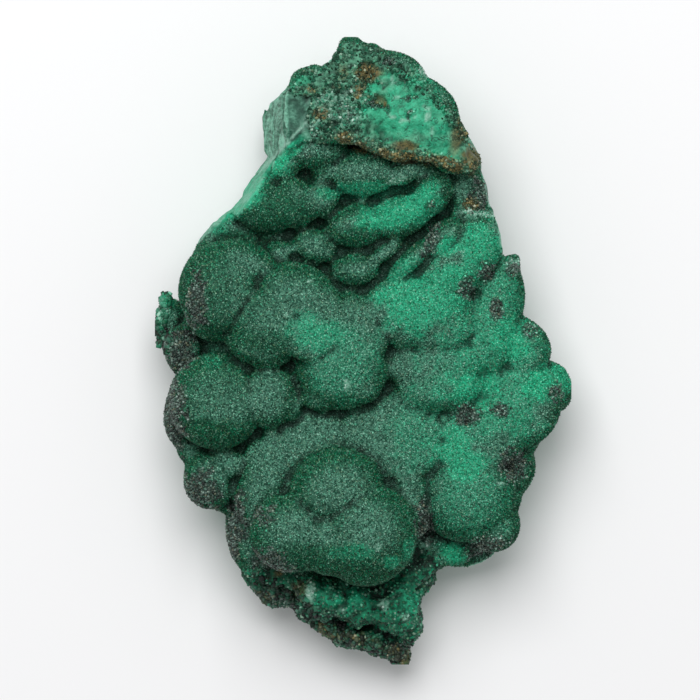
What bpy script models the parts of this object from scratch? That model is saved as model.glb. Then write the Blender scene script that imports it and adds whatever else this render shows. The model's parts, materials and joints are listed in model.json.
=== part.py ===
"""Malachite specimen: one grown, broken-out piece of botryoidal malachite lying on its broken back.

Rounded lumps (botryoids) cover the upper side. A rough crust lies across the upper end and stops at a
crumbling ledge, a crumbly toe hangs at the lower end, and a small ear stands out on the left. The upper
left side is a steep broken wall, and the back is broken too, flat in its middle and oblique at its rim.

The sizes below are millimetres; the model is in metres. +Z is the grown side, +Y runs to the crown, and
the origin is the middle of the resting face.
"""

import math
import random
from dataclasses import dataclass

import bmesh
import bpy
from mathutils import Euler, Matrix, Vector

MM = 0.001

# ---- driving dimensions, millimetres ----------------------------------------------------------------

LENGTH = 110.0          # crown to toe, along Y
WIDTH = 73.0            # ear to east tip, along X
THICKNESS = 34.0        # resting face to the top of the belly

COARSE_GRAIN = 0.85     # voxel that fuses the lumps
FINE_GRAIN = 0.75       # voxel that takes in the broken faces
SLAB_UNEVENNESS = 2.2   # height of the unevenness of the broken flanks
SLAB_UNEVENNESS_SPACING = 7.0
SLAB_EDGE = 1.6         # spacing of the points that carry it
FACET_TARGET = 10600    # triangles before the resting face is cut
UNDERCUT = 1.5          # what is taken off below the resting face
CUTTER_DEPTH = 20.0     # thickness of the block that takes it off
KNOB_SINK = 0.25        # share of a knob's radius that its middle lies below the surface
BARE_HEIGHT = 6.0       # where a knob sits when no lump is under it
LUMP_FINENESS = 4       # subdivisions of a lump's ball
SMALL_FINENESS = 2      # subdivisions of a knob's or a pit's ball
SAME_POINT = 1e-6       # distance in metres under which two points of an outline are one
SEED = 7


@dataclass(frozen=True)
class Lump:
    """One rounded growth: half an ellipsoid or more, from its top downwards."""

    name: str
    x: float
    y: float
    half_x: float
    half_y: float
    top: float
    turn: float = 0.0
    steepness: float = 1.0      # half height over the mean of the two half widths

    @property
    def half_z(self):
        """Half height of the ellipsoid."""
        return self.steepness * (self.half_x + self.half_y) / 2.0

    def height_at(self, x, y, dip):
        """Height of the dipping lump's upper side over a point, or None beside it."""
        turn = math.radians(self.turn)
        dx = x - self.x
        dy = y - self.y
        along = (dx * math.cos(turn) + dy * math.sin(turn)) / self.half_x
        across = (dy * math.cos(turn) - dx * math.sin(turn)) / self.half_y
        inside = 1.0 - along * along - across * across
        if inside <= 0.0:
            return None
        return self.top - self.half_z + self.half_z * math.sqrt(inside) - dip * dy


@dataclass(frozen=True)
class Growth:
    """A family of lumps that grew together, with the softness of the creases between them.

    The dip tips each lump towards the foot end, so that it overhangs the next one like a shingle.
    """

    name: str
    softness: int
    dip: float
    lumps: tuple


@dataclass(frozen=True)
class Slab:
    """A broken block of matrix: an upright outline, drawn in a little at its foot."""

    name: str
    bottom: float
    top: float
    foot_scale: float
    outline: tuple


@dataclass(frozen=True)
class Break:
    """A flat broken face: everything within its width and height, on the side it looks to, is gone."""

    name: str
    x: float
    y: float
    z: float
    looks_to: float         # degrees in plan, from +X towards +Y
    rise: float             # degrees that it looks up, negative for down
    width: float
    height: float
    reach: float = 14.0


@dataclass(frozen=True)
class KnobBand:
    """A crumbly strip: small knobs strewn along a path on the surface."""

    name: str
    path: tuple
    spread: float
    count: int
    smallest: float
    largest: float


@dataclass(frozen=True)
class Pit:
    """A small hollow in the surface."""

    name: str
    x: float
    y: float
    radius: float
    depth: float


WEST_DOMES = Growth("west_domes", 2, 0.15, (
    Lump("bed_west", -21.25, -4.25, 10.75, 19.5, 19, 0, 0.6),
    Lump("upper_left", -24.25, 11, 7.75, 8.5, 30.8, -20, 1.05),
    Lump("upper_left_low", -25.75, 6.75, 5, 5.25, 26.5),
    Lump("left_dome", -15.75, 5.75, 8.25, 8, 31.8, 0, 1.05),
    Lump("left_foot", -17.5, 1.5, 6.5, 4.5, 29.5, -12),
    Lump("left_brow", -11.5, 9.75, 8, 5.75, 31.3, -16),
    Lump("left_rim", -20.25, 15.5, 6, 3.5, 28.5, -22),
    Lump("middle_dome", -3.5, -2.5, 8.5, 8, 31, 0, 1.0),
    Lump("middle_bud", -0.25, -6.25, 3.75, 3.25, 29),
    Lump("middle_heel", -7, -7.5, 3.75, 3.25, 27.5),
    Lump("middle_field", -4.5, 3.25, 9.5, 7, 30, -15, 0.5),
    Lump("saddle", -9, 5.5, 6.5, 7.5, 31, 0, 0.45),
    Lump("west_dome", -25.25, -8.75, 8.5, 8.5, 29.5),
    Lump("west_bud", -16.5, -7.5, 5.5, 6.25, 28),
    Lump("west_flank", -31.25, -10.5, 3.25, 6.25, 20, -8),
    Lump("west_seam", -13.25, -8.75, 3.75, 4.25, 25.5),
    Lump("pea", -15.5, -14.75, 2.5, 2, 23.5),
    Lump("low_west", -26.25, -22.25, 5, 5.5, 22),
    Lump("low_west_foot", -23.75, -25.25, 3.5, 3, 18),
    Lump("west_link", -29.25, -17, 3.25, 3, 18),
    Lump("low_west_brow", -23.5, -19.5, 4.25, 3.5, 22.5),
))

SOUTH_DOMES = Growth("south_domes", 2, 0.0, (
    Lump("bed_south", -2, -26, 18.25, 16, 18.5, 0, 0.5),
    Lump("low_shoulder", -17, -24, 5.25, 7.5, 24.5, -15, 0.8),
    Lump("low_flank", -19.5, -31.75, 4.25, 7.75, 20, 8),
    Lump("low_heel", -18, -38.5, 3, 4.25, 14, 20),
    Lump("belly", 0.75, -31.75, 9, 9, THICKNESS, 0, 1.1),
    Lump("belly_brow", -4.25, -24.5, 8.75, 7.75, 32.8, 18, 1.2),
    Lump("belly_west", -12, -31.75, 7.75, 7, 31.6, 0, 1.1),
    Lump("belly_middle", -5, -33, 6.5, 6.5, 31.8),
    Lump("belly_foot", 1.75, -36, 7, 5, 30.5, 20),
    Lump("terrace_mid", -7, -16.5, 10.75, 8.5, 24.5, 10, 0.4),
    Lump("terrace_west", -15, -19.5, 6.25, 7, 23.5, -15, 0.55),
    Lump("neck", 8, -23, 4.25, 9.75, 25.8, 10, 0.8),
    Lump("groove_bank", 12.25, -22.5, 3, 6, 23.5),
    Lump("south_east", 18.25, -24.5, 9, 9, 26.8, 0, 0.95),
    Lump("south_rim", 23, -30.5, 4.75, 4.75, 22),
    Lump("south_rim_high", 24.25, -25.5, 3.75, 3.5, 21),
    Lump("south_bud", 16, -34.75, 3.5, 3, 15.5),
    Lump("south_skirt", 18.25, -34.5, 8, 4, 12, -12),
    Lump("south_link", 10.75, -39, 2, 3.5, 13, -20),
))

EAST_FIELD = Growth("east_field", 8, 0.1, (
    Lump("bed_middle", -4.75, 4.5, 16.5, 11.5, 24, 0, 0.45),
    Lump("bed_east", 15.25, -3.5, 15.25, 19.5, 23, 12, 0.45),
    Lump("plain", -3.25, 5.25, 9, 6, 29.4, -8, 0.8),
    Lump("terrace_east", 5.25, -15, 11, 9.25, 26, 0, 0.4),
    Lump("east_dome", 8.75, 7.25, 10.75, 7.75, 29.2, 6, 0.8),
    Lump("east_dome_low", 12, 4.25, 8, 5.25, 27.6, 5, 0.7),
    Lump("east_bank", 16.25, 15.5, 11, 6, 27.6, 42, 0.75),
    Lump("east_low", 13.25, -6.25, 8.25, 5, 27.6, 3, 1.0),
    Lump("east_shelf_mid", 12, -2, 10.75, 4.5, 26.7, 5, 0.6),
    Lump("east_slope", 21, 3.5, 6.5, 8.25, 24.6, 0, 0.8),
    Lump("east_slope_high", 22.75, 10.5, 5.75, 8.25, 23, 10, 0.8),
    Lump("east_bud", 27, 0.5, 6.25, 5.5, 22, -25, 0.9),
    Lump("east_tip", 31.75, -6.75, 5.25, 5, 18.5, 30),
    Lump("east_sill", 26.5, -9, 8.5, 8.5, 23, 0, 0.6),
    Lump("east_lower", 20.25, -14, 9, 7.25, 25.5, 0, 0.6),
    Lump("south_high", 18.75, -17.75, 6.5, 5.75, 26, 0, 0.6),
    Lump("east_spot", 25.75, -19.5, 4.5, 6, 21, 15),
    Lump("east_link", 27.5, -14.5, 4, 4, 20),
    Lump("east_ear", 24.5, 13.25, 3.25, 5.5, 18.5),
    Lump("east_ear_tip", 25.25, 15.5, 2.5, 2.75, 17),
    Lump("north_bank", 18.5, 23.25, 4.75, 8, 23.5, 20),
))

ROLLS = Growth("rolls", 1, 0.1, (
    Lump("bed_north", 1.5, 29.75, 16, 12.25, 20.5, 10, 0.45),
    Lump("bed_folds", 0, 18, 14, 6, 21.5, 0, 0.4),
    Lump("roll_one", 0.25, 31.25, 7.5, 4.75, 28.6, 0, 1.35),
    Lump("roll_one_west", -5.5, 32.5, 4.25, 3.75, 26.5, 30, 1.2),
    Lump("roll_one_end", 7.75, 31.25, 5, 2.75, 27.6, 12, 1.35),
    Lump("roll_two", -0.5, 21.75, 6.25, 4.5, 28, 4, 1.35),
    Lump("roll_two_mid", 6.5, 23.5, 7, 4.25, 28.8, 20, 1.35),
    Lump("roll_two_end", 12, 27.5, 4.5, 3.5, 28.4, 58, 1.35),
    Lump("roll_west", -16.75, 25.5, 6.5, 5, 28, -12, 1.3),
    Lump("roll_west_mid", -12, 26, 5, 4.75, 28.2, 0, 1.3),
    Lump("roll_west_end", -7.5, 26.75, 4, 3.75, 26.6, 0, 1.2),
    Lump("roll_slope", -12.25, 33, 4.25, 2.5, 26.5, 38),
    Lump("roll_slope_east", -9.5, 34.75, 2.75, 3.25, 27, 20),
    Lump("slope_below_crust", -8.75, 36, 6, 4.25, 29, -10),
    Lump("north_shelf", 18, 28, 3.75, 5, 24, 10),
    Lump("fold_west", -18, 19.25, 5, 2.75, 21, -18, 1.2),
    Lump("fold_mid", -14.25, 17, 3.5, 2.25, 24, 12, 1.3),
    Lump("fold_east", -8, 18.25, 4.75, 3.75, 25.5, -18, 1.3),
    Lump("oval", -1, 14, 5, 3.5, 27.6, 8, 1.4),
    Lump("oval_tail", 4, 17.25, 5.25, 2.25, 26.4, 34, 1.4),
    Lump("ridge", 8.75, 15.75, 6.75, 2.5, 27.8, 43, 1.3),
    Lump("ridge_end", 14, 19.25, 5, 3, 27.5, 45, 1.2),
))

CRUSTS = Growth("crusts", 1, 0.0, (
    Lump("ear", -33.5, 4.75, 2.75, 4.5, 13, -10),
    Lump("ear_post", -34.25, 8.75, 1.25, 1.75, 13.5),
    Lump("ear_root", -31, -0.25, 3.5, 4.75, 19, 20),
    Lump("crust_peak", -2, 52, 2.5, 3.25, 29),
    Lump("crust_peak_east", 1.5, 51.75, 2.5, 2, 28.5),
    Lump("crust_brow", 6, 48.75, 5.5, 3.5, 30.5, -20, 0.6),
    Lump("crust_knob_west", -9.25, 47.25, 3.5, 2.5, 30, 10),
    Lump("crust_west", -9.75, 42, 4.25, 6, 31, 0, 0.6),
    Lump("crust_middle", -3, 43, 8, 7.25, 32, 0, 0.35),
    Lump("crust_dome", 9.75, 41.25, 7.75, 6.75, 32.5, -35, 0.45),
    Lump("crust_east", 14.75, 36.25, 4, 6, 31, 25, 0.5),
    Lump("ledge_one", -2.75, 38.25, 2.75, 2, 31.5, -15),
    Lump("ledge_two", 2, 36.5, 3.25, 2, 31.3, -20),
    Lump("ledge_three", 6.5, 34.75, 3, 2, 31.2),
    Lump("ledge_four", 10.75, 35, 3, 2, 31, -5),
    Lump("ledge_five", 14.75, 33.5, 3, 2, 30.8, -15),
    Lump("ledge_six", 18.25, 33, 2.25, 2, 30),
    Lump("bed_toe", -2, -43.5, 10.25, 6.75, 11.5, 0, 0.5),
    Lump("toe_west", -15, -41.5, 5, 3.25, 13, -14),
    Lump("toe_one", -6.5, -43, 4.5, 3.75, 18),
    Lump("toe_two", -1, -44.5, 4.25, 3.75, 17.5),
    Lump("toe_three", 5.5, -44.5, 5, 4.75, 17),
    Lump("toe_four", 8, -48, 2.5, 3.25, 15),
    Lump("toe_tip", 6.25, -52.75, 1.75, 2.75, 10.5, 30),
    Lump("toe_rim_one", -5.75, -46.25, 3, 2.75, 12, -30),
    Lump("toe_rim_two", -2.75, -49.25, 4, 2.5, 12, -15),
    Lump("toe_rim_three", 2.75, -50.5, 3.5, 2.5, 12, -10),
))

GROWTHS = (WEST_DOMES, SOUTH_DOMES, EAST_FIELD, ROLLS, CRUSTS)

SLABS = (
    Slab("matrix", -UNDERCUT, 15.0, 0.9, (
        (-3, 52.5), (4, 49.5), (7.5, 48), (11.5, 45), (15.5, 40), (18, 35), (20, 30), (21, 25),
        (22, 19), (25, 13), (26, 8), (29, 3), (33, -1), (35, -7), (33.5, -11), (30, -17.5),
        (28.5, -22.5), (27, -27), (26, -32.5), (19.5, -36.5), (13.5, -38.5), (8.5, -42), (-11, -42),
        (-17.5, -41), (-20.5, -37.5), (-22.5, -27), (-28.5, -24), (-31, -18), (-32.5, -10.5),
        (-31.5, -4.5), (-32, 2), (-31, 9), (-30.5, 15), (-28.5, 19), (-24.5, 24), (-20, 28.5),
        (-19.5, 33), (-19.5, 38), (-18, 43), (-12, 46.5), (-7, 49))),
    Slab("matrix_north", 9.0, 21.0, 1.0, (
        (-3, 53), (4, 50), (7.5, 49.5), (11.5, 46.5), (16, 41.5), (18, 37), (20.75, 33.5), (21.5, 28),
        (22.3, 22.5), (22.5, 17.5), (8, 12), (-11, 12), (-23, 15), (-30, 15), (-28, 20),
        (-24.5, 24), (-20.5, 28.5), (-18.5, 33), (-18.5, 38), (-18, 42), (-14.5, 44), (-12.5, 46),
        (-10, 48), (-6.5, 49))),
    Slab("crown_neck", 19.0, 27.5, 1.0, (
        (-3, 52.5), (4, 49.5), (7.5, 49), (11.5, 46), (16, 40.5), (18, 36.5), (18.5, 34),
        (8, 35.5), (-5, 38.5), (-12, 38), (-14.5, 34), (-18, 34), (-18, 38), (-17, 42),
        (-14.5, 44.5), (-12, 46), (-6.5, 49))),
    Slab("matrix_toe", 1.0, 9.0, 0.85, (
        (-17.5, -41.5), (-10.5, -44), (-6.5, -48), (-2, -50), (4, -51), (7, -53), (8.5, -50.5),
        (9.5, -45.5), (11, -41), (13.5, -37), (-17.5, -36.5))),
    Slab("crown_crust", 26.5, 30.3, 0.97, (
        (-3, 54), (3, 53), (4, 51), (7.5, 50.5), (9.5, 49), (11.5, 46.5), (14, 43), (16.5, 41),
        (17.5, 38), (19.5, 35.5), (21, 32.5), (18, 31.5), (15.5, 32), (13.5, 33.5), (11.5, 34),
        (8, 33.5), (5, 34.5), (2, 35.5), (-0.5, 36.5), (-3.5, 37.5), (-6.5, 36), (-10, 37),
        (-12.5, 35), (-14.5, 35), (-15, 43), (-12.5, 46.5), (-10.5, 48.5), (-6.5, 49.5),
        (-4.5, 52.5))),
)

BREAKS = (
    Break("crown_wall", -13.8, 40.5, 26, 180, 11, 14, 56),
    Break("grey_facet", -12.5, 39.75, 29.2, 176, 62, 10, 7.5),
    Break("diagonal_wall", -18.6, 28.4, 24, 144, 5, 12, 52),
    Break("shoulder_wall", -24.5, 22.8, 22, 133, 2, 12, 48),
    Break("north_east_wall", 22.2, 24.5, 14, 13, -5, 17, 30),
    Break("east_wall", 30.7, -18, 10, -25, -12, 18, 24),
    Break("crown_back_west", -9, 46.8, 10, 128, -22, 18, 30),
    Break("crown_back_middle", 1, 50.2, 9, 84, -18, 18, 30),
    Break("crown_back_east", 13.5, 42.5, 12, 48, -14, 16, 28),
    Break("north_foot", 4, 46, 3, 80, -52, 40, 20),
    Break("north_east_foot", 20, 24, 2.5, 20, -48, 26, 18),
    Break("east_foot", 27, 3, 4, 5, -42, 40, 26),
    Break("south_east_foot", 21, -31, 4, -55, -38, 34, 22),
    Break("south_west_foot", -20.5, -32, 5, 208, -34, 30, 24),
    Break("west_foot", -30, -7, 2.5, 184, -30, 40, 20),
    Break("toe_foot", 0, -45, 3, 268, -40, 40, 14),
    Break("north_west_foot", -22, 22, 3, 138, -40, 30, 16),
    Break("north_corner_foot", -17.5, 34, 5, 163, -36, 16, 18),
)

KNOB_BANDS = (
    KnobBand("ledge", ((-4.5, 38), (2, 35.8), (6, 34.2), (11, 34.3), (15.5, 32.8), (19.5, 32)),
             0.9, 46, 0.6, 1.25),
    KnobBand("crown_rim", ((-13, 46), (-9, 48.4), (-5, 50), (-2, 52.5), (2, 52), (6, 49.5), (10, 46.5),
                           (14.5, 42), (18.5, 37)), 1.0, 44, 0.6, 1.4),
    KnobBand("crown_rough", ((-10, 44), (-8, 39), (-4, 45), (0, 47), (-2, 41)), 3.0, 46, 0.5, 1.3),
    KnobBand("toe_rim", ((-17.5, -41), (-12, -43), (-8, -47), (-3, -50), (2, -51), (6.5, -53)),
             1.2, 52, 0.6, 1.4),
    KnobBand("toe_top", ((-14, -40), (-7, -43), (0, -45), (6, -45), (8.5, -49)), 2.4, 40, 0.6, 1.5),
    KnobBand("ear_knobs", ((-34.5, 9), (-35, 6), (-35.5, 3.5), (-34.5, 1)), 1.1, 16, 0.6, 1.2),
)

PITS = (
    Pit("ear_gap", -32.25, 8.25, 1.1, 9),
    Pit("ear_slit", -31.75, 6, 0.9, 9),
    Pit("ochre_hollow", 1, 48.6, 2.1, 1.6),
    Pit("deep_pit", 4.2, 50.4, 1.1, 1.8),
    Pit("rust_pit", 3.2, 43.3, 1.0, 1.3),
    Pit("west_pit", -9, 47.3, 0.8, 1.0),
    Pit("west_pit_low", -6.8, 45, 0.8, 1.0),
    Pit("east_pit", 8, 41, 0.7, 0.9),
    Pit("low_pit", 5.5, 36, 0.8, 1.0),
)

MALACHITE = {"colour": (0.045, 0.165, 0.1, 1.0), "roughness": 0.72, "metallic": 0.0}


# ---- helpers ----------------------------------------------------------------------------------------

def clear_scene():
    """Remove every object, and the meshes and curves that they leave behind."""
    for scene_object in list(bpy.data.objects):
        bpy.data.objects.remove(scene_object, do_unlink=True)
    for mesh in list(bpy.data.meshes):
        bpy.data.meshes.remove(mesh)
    for curve in list(bpy.data.curves):
        bpy.data.curves.remove(curve)


def new_collection(name):
    """A fresh collection, linked to the scene."""
    collection = bpy.data.collections.new(name)
    bpy.context.scene.collection.children.link(collection)
    return collection


def surface_height(x, y):
    """Height of the grown surface over a point, millimetres."""
    heights = [lump.height_at(x, y, growth.dip) for growth in GROWTHS for lump in growth.lumps]
    known = [height for height in heights if height is not None]
    return max(known, default=BARE_HEIGHT)


def add_ball(soup, centre, half_sizes, turn_degrees, subdivisions, dip=0.0):
    """Add one closed ellipsoid to a bmesh, sizes in millimetres, sheared so that it dips along -Y."""
    place = Matrix.Translation(Vector(centre) * MM)
    shear = Matrix.Identity(4)
    shear[2][1] = -dip
    turn = Matrix.Rotation(math.radians(turn_degrees), 4, "Z")
    stretch = Matrix.Diagonal(Vector(half_sizes) * MM).to_4x4()
    matrix = place @ shear @ turn @ stretch
    bmesh.ops.create_icosphere(soup, subdivisions=subdivisions, radius=1.0, matrix=matrix)


def add_lump(soup, lump, dip):
    """Add a lump as a dipping ellipsoid."""
    centre = (lump.x, lump.y, lump.top - lump.half_z)
    half_sizes = (lump.half_x, lump.half_y, lump.half_z)
    add_ball(soup, centre, half_sizes, lump.turn, LUMP_FINENESS, dip)


def walk_path(path, share):
    """Point at a share from 0 to 1 of a path of straight runs."""
    runs = len(path) - 1
    place = share * runs
    run = min(int(place), runs - 1)
    start = Vector(path[run])
    end = Vector(path[run + 1])
    return start.lerp(end, place - run)


def add_knobs(soup, band, chance):
    """Strew a band's knobs along its path, half sunk into the surface."""
    for _ in range(band.count):
        spot = walk_path(band.path, chance.random())
        x = spot.x + chance.gauss(0.0, band.spread / 2.0)
        y = spot.y + chance.gauss(0.0, band.spread / 2.0)
        radius = chance.uniform(band.smallest, band.largest)
        flatness = chance.uniform(0.7, 1.0)
        height = surface_height(x, y) - KNOB_SINK * radius
        half_sizes = (radius, radius * flatness, radius)
        add_ball(soup, (x, y, height), half_sizes, chance.uniform(0, 180), SMALL_FINENESS)


def slab_shell(slab, helpers, unevenness):
    """Mesh of a slab: its outline extruded upright, drawn in at the foot and made uneven."""
    curve = bpy.data.curves.new(slab.name, "CURVE")
    curve.dimensions = "2D"
    curve.fill_mode = "BOTH"
    curve.extrude = (slab.top - slab.bottom) / 2.0 * MM
    spline = curve.splines.new("POLY")
    spline.points.add(len(slab.outline) - 1)
    for point, (x, y) in zip(spline.points, slab.outline):
        point.co = (x * MM, y * MM, 0.0, 1.0)
    spline.use_cyclic_u = True
    outline_object = bpy.data.objects.new(slab.name + "_outline", curve)
    outline_object.location.z = (slab.top + slab.bottom) / 2.0 * MM
    helpers.objects.link(outline_object)
    mesh = evaluated_mesh(outline_object)
    mesh.transform(outline_object.matrix_world)
    bpy.data.objects.remove(outline_object, do_unlink=True)

    block = bmesh.new()
    block.from_mesh(mesh)
    bmesh.ops.remove_doubles(block, verts=block.verts, dist=SAME_POINT)
    middle = sum((vert.co for vert in block.verts), Vector()) / len(block.verts)
    for vert in block.verts:
        if vert.co.z < middle.z:
            vert.co.x = middle.x + (vert.co.x - middle.x) * slab.foot_scale
            vert.co.y = middle.y + (vert.co.y - middle.y) * slab.foot_scale
    block.to_mesh(mesh)
    block.free()

    shell = bpy.data.objects.new(slab.name, mesh)
    helpers.objects.link(shell)
    add_remesh(shell, "even_points", SLAB_EDGE)
    displace = shell.modifiers.new("broken_relief", "DISPLACE")
    displace.texture = unevenness
    displace.texture_coords = "LOCAL"
    displace.strength = SLAB_UNEVENNESS * MM
    displace.mid_level = 0.5
    uneven = evaluated_mesh(shell)
    bpy.data.objects.remove(shell, do_unlink=True)
    return uneven


def evaluated_mesh(scene_object):
    """Mesh of an object as its modifiers leave it."""
    bpy.context.view_layer.update()
    evaluated = scene_object.evaluated_get(bpy.context.evaluated_depsgraph_get())
    return bpy.data.meshes.new_from_object(evaluated)


def growth_shell(growth, helpers):
    """Mesh of one family of lumps, fused and with its creases softened."""
    soup = bmesh.new()
    for lump in growth.lumps:
        add_lump(soup, lump, growth.dip)
    mesh = bpy.data.meshes.new(growth.name)
    soup.to_mesh(mesh)
    soup.free()
    shell = bpy.data.objects.new(growth.name, mesh)
    helpers.objects.link(shell)
    add_remesh(shell, "fuse", COARSE_GRAIN)
    soften = shell.modifiers.new("soften", "SMOOTH")
    soften.factor = 0.5
    soften.iterations = growth.softness
    soft = evaluated_mesh(shell)
    bpy.data.objects.remove(shell, do_unlink=True)
    return soft


def clouds(name, spacing, depth):
    """A soft cloud texture, spacing in millimetres."""
    texture = bpy.data.textures.new(name, "CLOUDS")
    texture.noise_scale = spacing * MM
    texture.noise_depth = depth
    return texture


def hide_cutter(cutter):
    """Mark an object as a cutter and not a part."""
    cutter.display_type = "WIRE"
    cutter.hide_render = True


def break_cutter(broken, cutters):
    """Box that carries one broken face and removes what lies beyond it."""
    soup = bmesh.new()
    bmesh.ops.create_cube(soup, size=1.0)
    mesh = bpy.data.meshes.new("cut_" + broken.name)
    soup.to_mesh(mesh)
    soup.free()
    cutter = bpy.data.objects.new("cut_" + broken.name, mesh)
    turn = Euler((0.0, -math.radians(broken.rise), math.radians(broken.looks_to)), "XYZ")
    outwards = turn.to_matrix() @ Vector((1.0, 0.0, 0.0))
    cutter.rotation_euler = turn
    cutter.scale = Vector((broken.reach, broken.width, broken.height)) * MM
    cutter.location = (Vector((broken.x, broken.y, broken.z)) + outwards * broken.reach / 2.0) * MM
    hide_cutter(cutter)
    cutters.objects.link(cutter)
    return cutter


def pit_cutter(pits, cutters):
    """All pits as one object of separate balls."""
    soup = bmesh.new()
    for pit in pits:
        height = surface_height(pit.x, pit.y) + pit.radius - pit.depth
        add_ball(soup, (pit.x, pit.y, height), (pit.radius,) * 3, 0.0, SMALL_FINENESS)
    mesh = bpy.data.meshes.new("cut_pits")
    soup.to_mesh(mesh)
    soup.free()
    cutter = bpy.data.objects.new("cut_pits", mesh)
    hide_cutter(cutter)
    cutters.objects.link(cutter)
    return cutter


def floor_cutter(cutters):
    """Box below the resting face."""
    soup = bmesh.new()
    bmesh.ops.create_cube(soup, size=1.0)
    mesh = bpy.data.meshes.new("cut_floor")
    soup.to_mesh(mesh)
    soup.free()
    cutter = bpy.data.objects.new("cut_floor", mesh)
    cutter.scale = Vector((2.0 * WIDTH, 2.0 * LENGTH, CUTTER_DEPTH)) * MM
    cutter.location.z = -CUTTER_DEPTH / 2.0 * MM
    hide_cutter(cutter)
    cutters.objects.link(cutter)
    return cutter


def malachite_material():
    """Dark green velvet malachite."""
    material = bpy.data.materials.new("malachite")
    material.use_nodes = True
    shader = material.node_tree.nodes["Principled BSDF"]
    shader.inputs["Base Color"].default_value = MALACHITE["colour"]
    shader.inputs["Roughness"].default_value = MALACHITE["roughness"]
    shader.inputs["Metallic"].default_value = MALACHITE["metallic"]
    material.diffuse_color = MALACHITE["colour"]
    return material


def add_remesh(shell, name, voxel):
    """Fuse or even out the mesh on a voxel grid, voxel in millimetres."""
    remesh = shell.modifiers.new(name, "REMESH")
    remesh.mode = "VOXEL"
    remesh.voxel_size = voxel * MM


def add_cut(specimen, name, cutter):
    """Take one cutter out of the specimen."""
    cut = specimen.modifiers.new(name, "BOOLEAN")
    cut.operation = "DIFFERENCE"
    cut.solver = "MANIFOLD"
    cut.object = cutter


def triangle_count(scene_object):
    """Triangles of an object as its modifiers leave it."""
    mesh = evaluated_mesh(scene_object)
    mesh.calc_loop_triangles()
    count = len(mesh.loop_triangles)
    bpy.data.meshes.remove(mesh)
    return count


# ---- the specimen -----------------------------------------------------------------------------------

def raw_specimen(parts, helpers):
    """Object that holds every growth, knob and slab as overlapping closed shells."""
    soup = bmesh.new()
    for growth in GROWTHS:
        mesh = growth_shell(growth, helpers)
        soup.from_mesh(mesh)
        bpy.data.meshes.remove(mesh)
    chance = random.Random(SEED)
    for band in KNOB_BANDS:
        add_knobs(soup, band, chance)
    unevenness = clouds("broken_relief", SLAB_UNEVENNESS_SPACING, 2)
    for slab in SLABS:
        mesh = slab_shell(slab, helpers, unevenness)
        soup.from_mesh(mesh)
        bpy.data.meshes.remove(mesh)
    mesh = bpy.data.meshes.new("malachite_specimen")
    soup.to_mesh(mesh)
    soup.free()
    specimen = bpy.data.objects.new("malachite_specimen", mesh)
    parts.objects.link(specimen)
    return specimen


def build_specimen():
    """Build the one solid of the specimen."""
    parts = new_collection("malachite specimen")
    helpers = new_collection("helpers")
    specimen = raw_specimen(parts, helpers)
    specimen.data.materials.append(malachite_material())

    add_remesh(specimen, "fuse", COARSE_GRAIN)
    for broken in BREAKS:
        add_cut(specimen, broken.name, break_cutter(broken, helpers))
    add_cut(specimen, "pits", pit_cutter(PITS, helpers))
    add_remesh(specimen, "heal", FINE_GRAIN)
    soften = specimen.modifiers.new("soften", "SMOOTH")
    soften.factor = 0.5
    soften.iterations = 1
    thin = specimen.modifiers.new("thin_out", "DECIMATE")
    thin.ratio = FACET_TARGET / triangle_count(specimen)
    add_cut(specimen, "resting_face", floor_cutter(helpers))
    return specimen


clear_scene()
build_specimen()
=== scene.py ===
"""Looks of the malachite specimen: one grown, broken-out piece lying on its broken back.

Rounded lumps carry a velvet of fine pointed crystals. A crumbly crust with rusty limonite covers the
crown, a dark crumbly toe hangs at the lower end, and the broken faces show the growth layers as bands.

Lengths are millimetres and become metres where a mesh is made. +Z is the grown side, +Y runs to the
crown, and the origin is the middle of the resting face.
"""

import json
import logging
import math
import random
from collections.abc import Iterable, Sequence
from dataclasses import dataclass, field
from enum import Enum
from functools import lru_cache
from itertools import product
from typing import ClassVar

import bmesh
import bpy
import numpy as np
from mathutils import Euler, Matrix, Vector

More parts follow.
